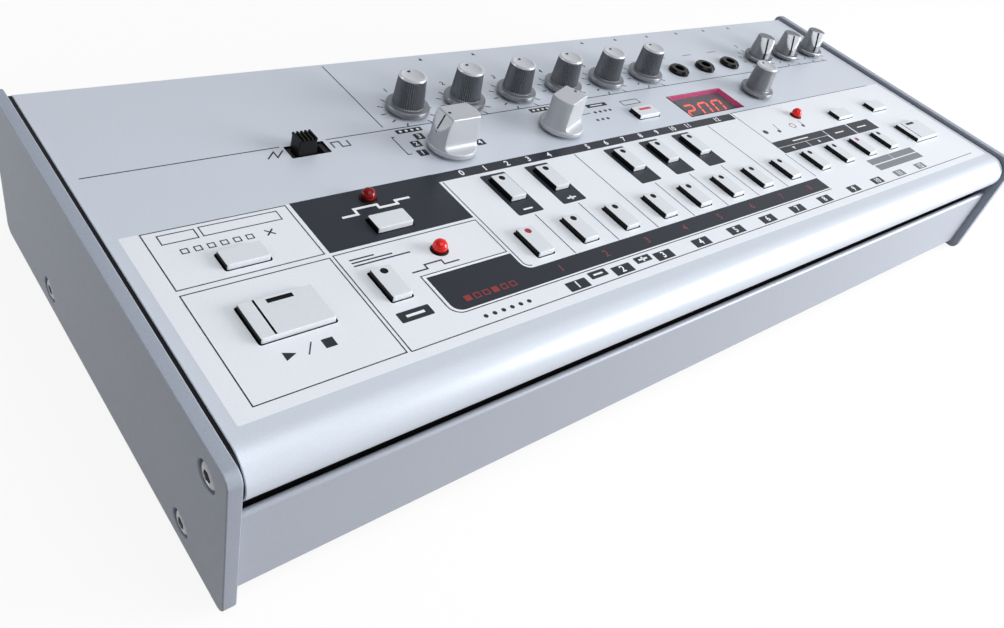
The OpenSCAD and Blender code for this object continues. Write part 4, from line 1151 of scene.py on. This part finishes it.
def volume_knob():
    """Small knurled knob at the rear."""
    node = "volume_knob"
    shape = Shape()
    profile = [(AXIS_R, -9.7), (2.0, -9.7), (2.0, 0.6), (4.9, 0.6), (5.0, 0.75), (5.0, 0.9), (5.0, 5.3),
               (4.95, 5.5), (4.8, 5.85), (4.4, 6.1), (3.2, 6.1), (2.9, 5.95), (AXIS_R, 5.9)]
    ribs = 48
    shape.lathe(profile, 4 * ribs, 0, knurl(ribs, 0.25, 0.8, 5.4))
    shape.prism(rounded_block(0.5, 1.6, 0.15, 0.0, 3.7), 5.9, 6.1, (), 1)
    shape.piece("volume_grip", [BLACK, WHITE], node, facing("back", VOLUME_U), "control_black", [node])


def power_switch():
    """Sliding tab with fine ridges."""
    node = "power_switch"
    low, high = panel_box(node)
    shape = Shape()
    outline = rounded_block(high[0] - low[0], high[2] - low[2], 0.25)
    top = high[1] - DEPTH
    shape.rings([ring(outline, low[1] - DEPTH), ring(outline, top - 0.5),
                 ring(inset(outline, 0.15), top - 0.35)])
    for i in (-1, 0, 1):
        rib = rounded_block(0.45, high[2] - low[2] - 0.4, 0.1, 0.85 * i)
        shape.rings([ring(rib, top - 0.5), ring(rib, top - 0.08), ring(inset(rib, 0.08), top)])
    u = (low[0] + high[0]) / 2
    h = (low[2] + high[2]) / 2
    shape.piece("power_tab", [BLACK], node, facing("back", u, h=h), "control_black", [node])


CARRIED = {"base_tray": TRAY, "cradle": TRAY, "bottom_case": CASE, "battery_door": CASE,
           "circuit_board": BOARD, "display_block": INNER, "key_switches": INNER, "speaker": INNER,
           "jack_sockets": GLOSS_BLACK, "potentiometers": POT_METAL, "batteries": WRAP, "case_screws": STEEL}


def carry_over():
    """Gives a material to the solids that are shown as they are."""
    for node, material in CARRIED.items():
        thing = frame["nodes"][node]
        thing.data.materials.clear()
        thing.data.materials.append(material)


# Stage


def seen_directly(tree):
    """1 for camera, glossy and transmission rays."""
    rays = tree.nodes.new("ShaderNodeLightPath").outputs
    seen = rays["Is Camera Ray"]
    for kind in ("Is Glossy Ray", "Is Transmission Ray"):
        seen = add_node(tree, "Math", {0: seen, 1: rays[kind]}, operation="MAXIMUM")
    return seen


def floor_material():
    """Nearly white to the eye and in reflections, greyer as a source of bounced light."""
    bounced, pale, own_light = 0.22, 0.95, 0.88
    material = bpy.data.materials.new("floor")
    material.use_nodes = True
    tree = material.node_tree
    tree.nodes.clear()
    seen = seen_directly(tree)
    matte = add_node(tree, "BsdfDiffuse", {"Color": spread(tree, seen, bounced, pale)})
    glow = add_node(tree, "Emission", {"Strength": 1.0})
    share = add_node(tree, "Math", {0: seen, 1: own_light}, operation="MULTIPLY")
    mix = add_node(tree, "MixShader", {"Fac": share, 1: matte, 2: glow})
    add_node(tree, "OutputMaterial", {"Surface": mix})
    return material


def make_floor():
    """Pale floor that turns up into a low pale wall all round, far from the object."""
    mesh = bpy.data.meshes.new("floor")
    reach, level, wall_top = 6.0, -0.0002, 1.8
    corners = rectangle(-reach, reach, -reach, reach)
    points = ring(corners, level) + ring(corners, wall_top)
    walls = [(low, (low + 1) % 4, (low + 1) % 4 + 4, low + 4) for low in range(4)]
    mesh.from_pydata(points, [], [(0, 1, 2, 3)] + walls)
    mesh.materials.append(floor_material())
    put("floor", mesh)


def make_world():
    """Soft room light, dim on the left and brighter on the right."""
    dim, bright, cool_white = 0.12, 0.78, (0.96, 0.98, 1.0, 1.0)
    world = bpy.data.worlds.new("room")
    world.use_nodes = True
    bpy.context.scene.world = world
    tree = world.node_tree
    tree.nodes.clear()
    source = tree.nodes.new("ShaderNodeTexCoord")
    split = add_node(tree, "SeparateXYZ", {"Vector": source.outputs["Generated"]})
    strength = spread(tree, split, dim, bright, -1.0)
    room = add_node(tree, "Background", {"Color": cool_white, "Strength": strength})
    add_node(tree, "OutputWorld", {"Surface": room})


def soft_box(name, place, aim, size, power):
    """Square area lamp that looks at a point."""
    lamp = bpy.data.lights.new(name, "AREA")
    lamp.energy = power
    lamp.size = size
    holder = put(name, lamp)
    holder.location = place
    holder.rotation_euler = (Vector(aim) - Vector(place)).to_track_quat("-Z", "Y").to_euler()


def make_camera():
    """Camera at the photo's place, found from its straight lines."""
    camera = bpy.data.cameras.new("camera")
    camera.sensor_fit = "HORIZONTAL"
    camera.sensor_width = 36.0
    camera.lens = 30.3083
    camera.shift_x = -0.048279
    camera.shift_y = -0.005464
    camera.clip_start = 0.01
    holder = put("camera", camera)
    stand = Matrix.Translation(Vector((-40.591, -76.307, 116.714)) * MM)
    aim = Euler([radians(angle) for angle in (49.05438, -15.38772, -39.95092)])
    holder.matrix_world = PANEL @ stand @ aim.to_matrix().to_4x4()
    bpy.context.scene.camera = holder


make_camera()
side_plate("left_side_plate", -SIDE_GAP, -1)
side_plate("right_side_plate", WIDTH + SIDE_GAP, 1)
dock_screws()
front_panel()
rubber_feet()
top_panel()
print_layer("print_field", FIELD, FIELD_H, draw_field)
print_layer("print_dark", CHARCOAL, INK_H, draw_frames, draw_keyboard, draw_scales, draw_signs)
print_layer("print_glared_plates", GLARED_CHARCOAL, INK_H, draw_grey)
print_layer("print_white", WHITE, OVER_H, draw_white)
print_layer("print_faint", DIM, OVER_H, draw_faint)
print_layer("print_red", RED, OVER_H, draw_red)
for button in BUTTONS:
    button_cap(button)
for knob in TONE_KNOBS:
    round_knob(knob, True)
round_knob(ENCODER, False)
for knob in EFFECT_KNOBS:
    pointer_knob(knob, 240.0)
selector("track_selector", 180.0)
selector("mode_selector", 22.0)
waveform_slider()
mode_lamps()
display()
jack_nuts()
side_seals()
din_inserts()
usb_tongue()
volume_knob()
power_switch()
carry_over()
make_floor()
make_world()
soft_box("front_light", (0.6, -0.47, 0.21), (0.0, 0.0, 0.03), size=0.5, power=8.9)
soft_box("top_light", (-0.12, -0.24, 0.55), (-0.06, -0.02, 0.04), size=0.45, power=1.25)
soft_box("left_light", (-0.36, 0.2, 0.04), (-0.154, 0.05, 0.03), size=0.15, power=0.2)
bpy.context.scene.view_settings.view_transform = "Standard"
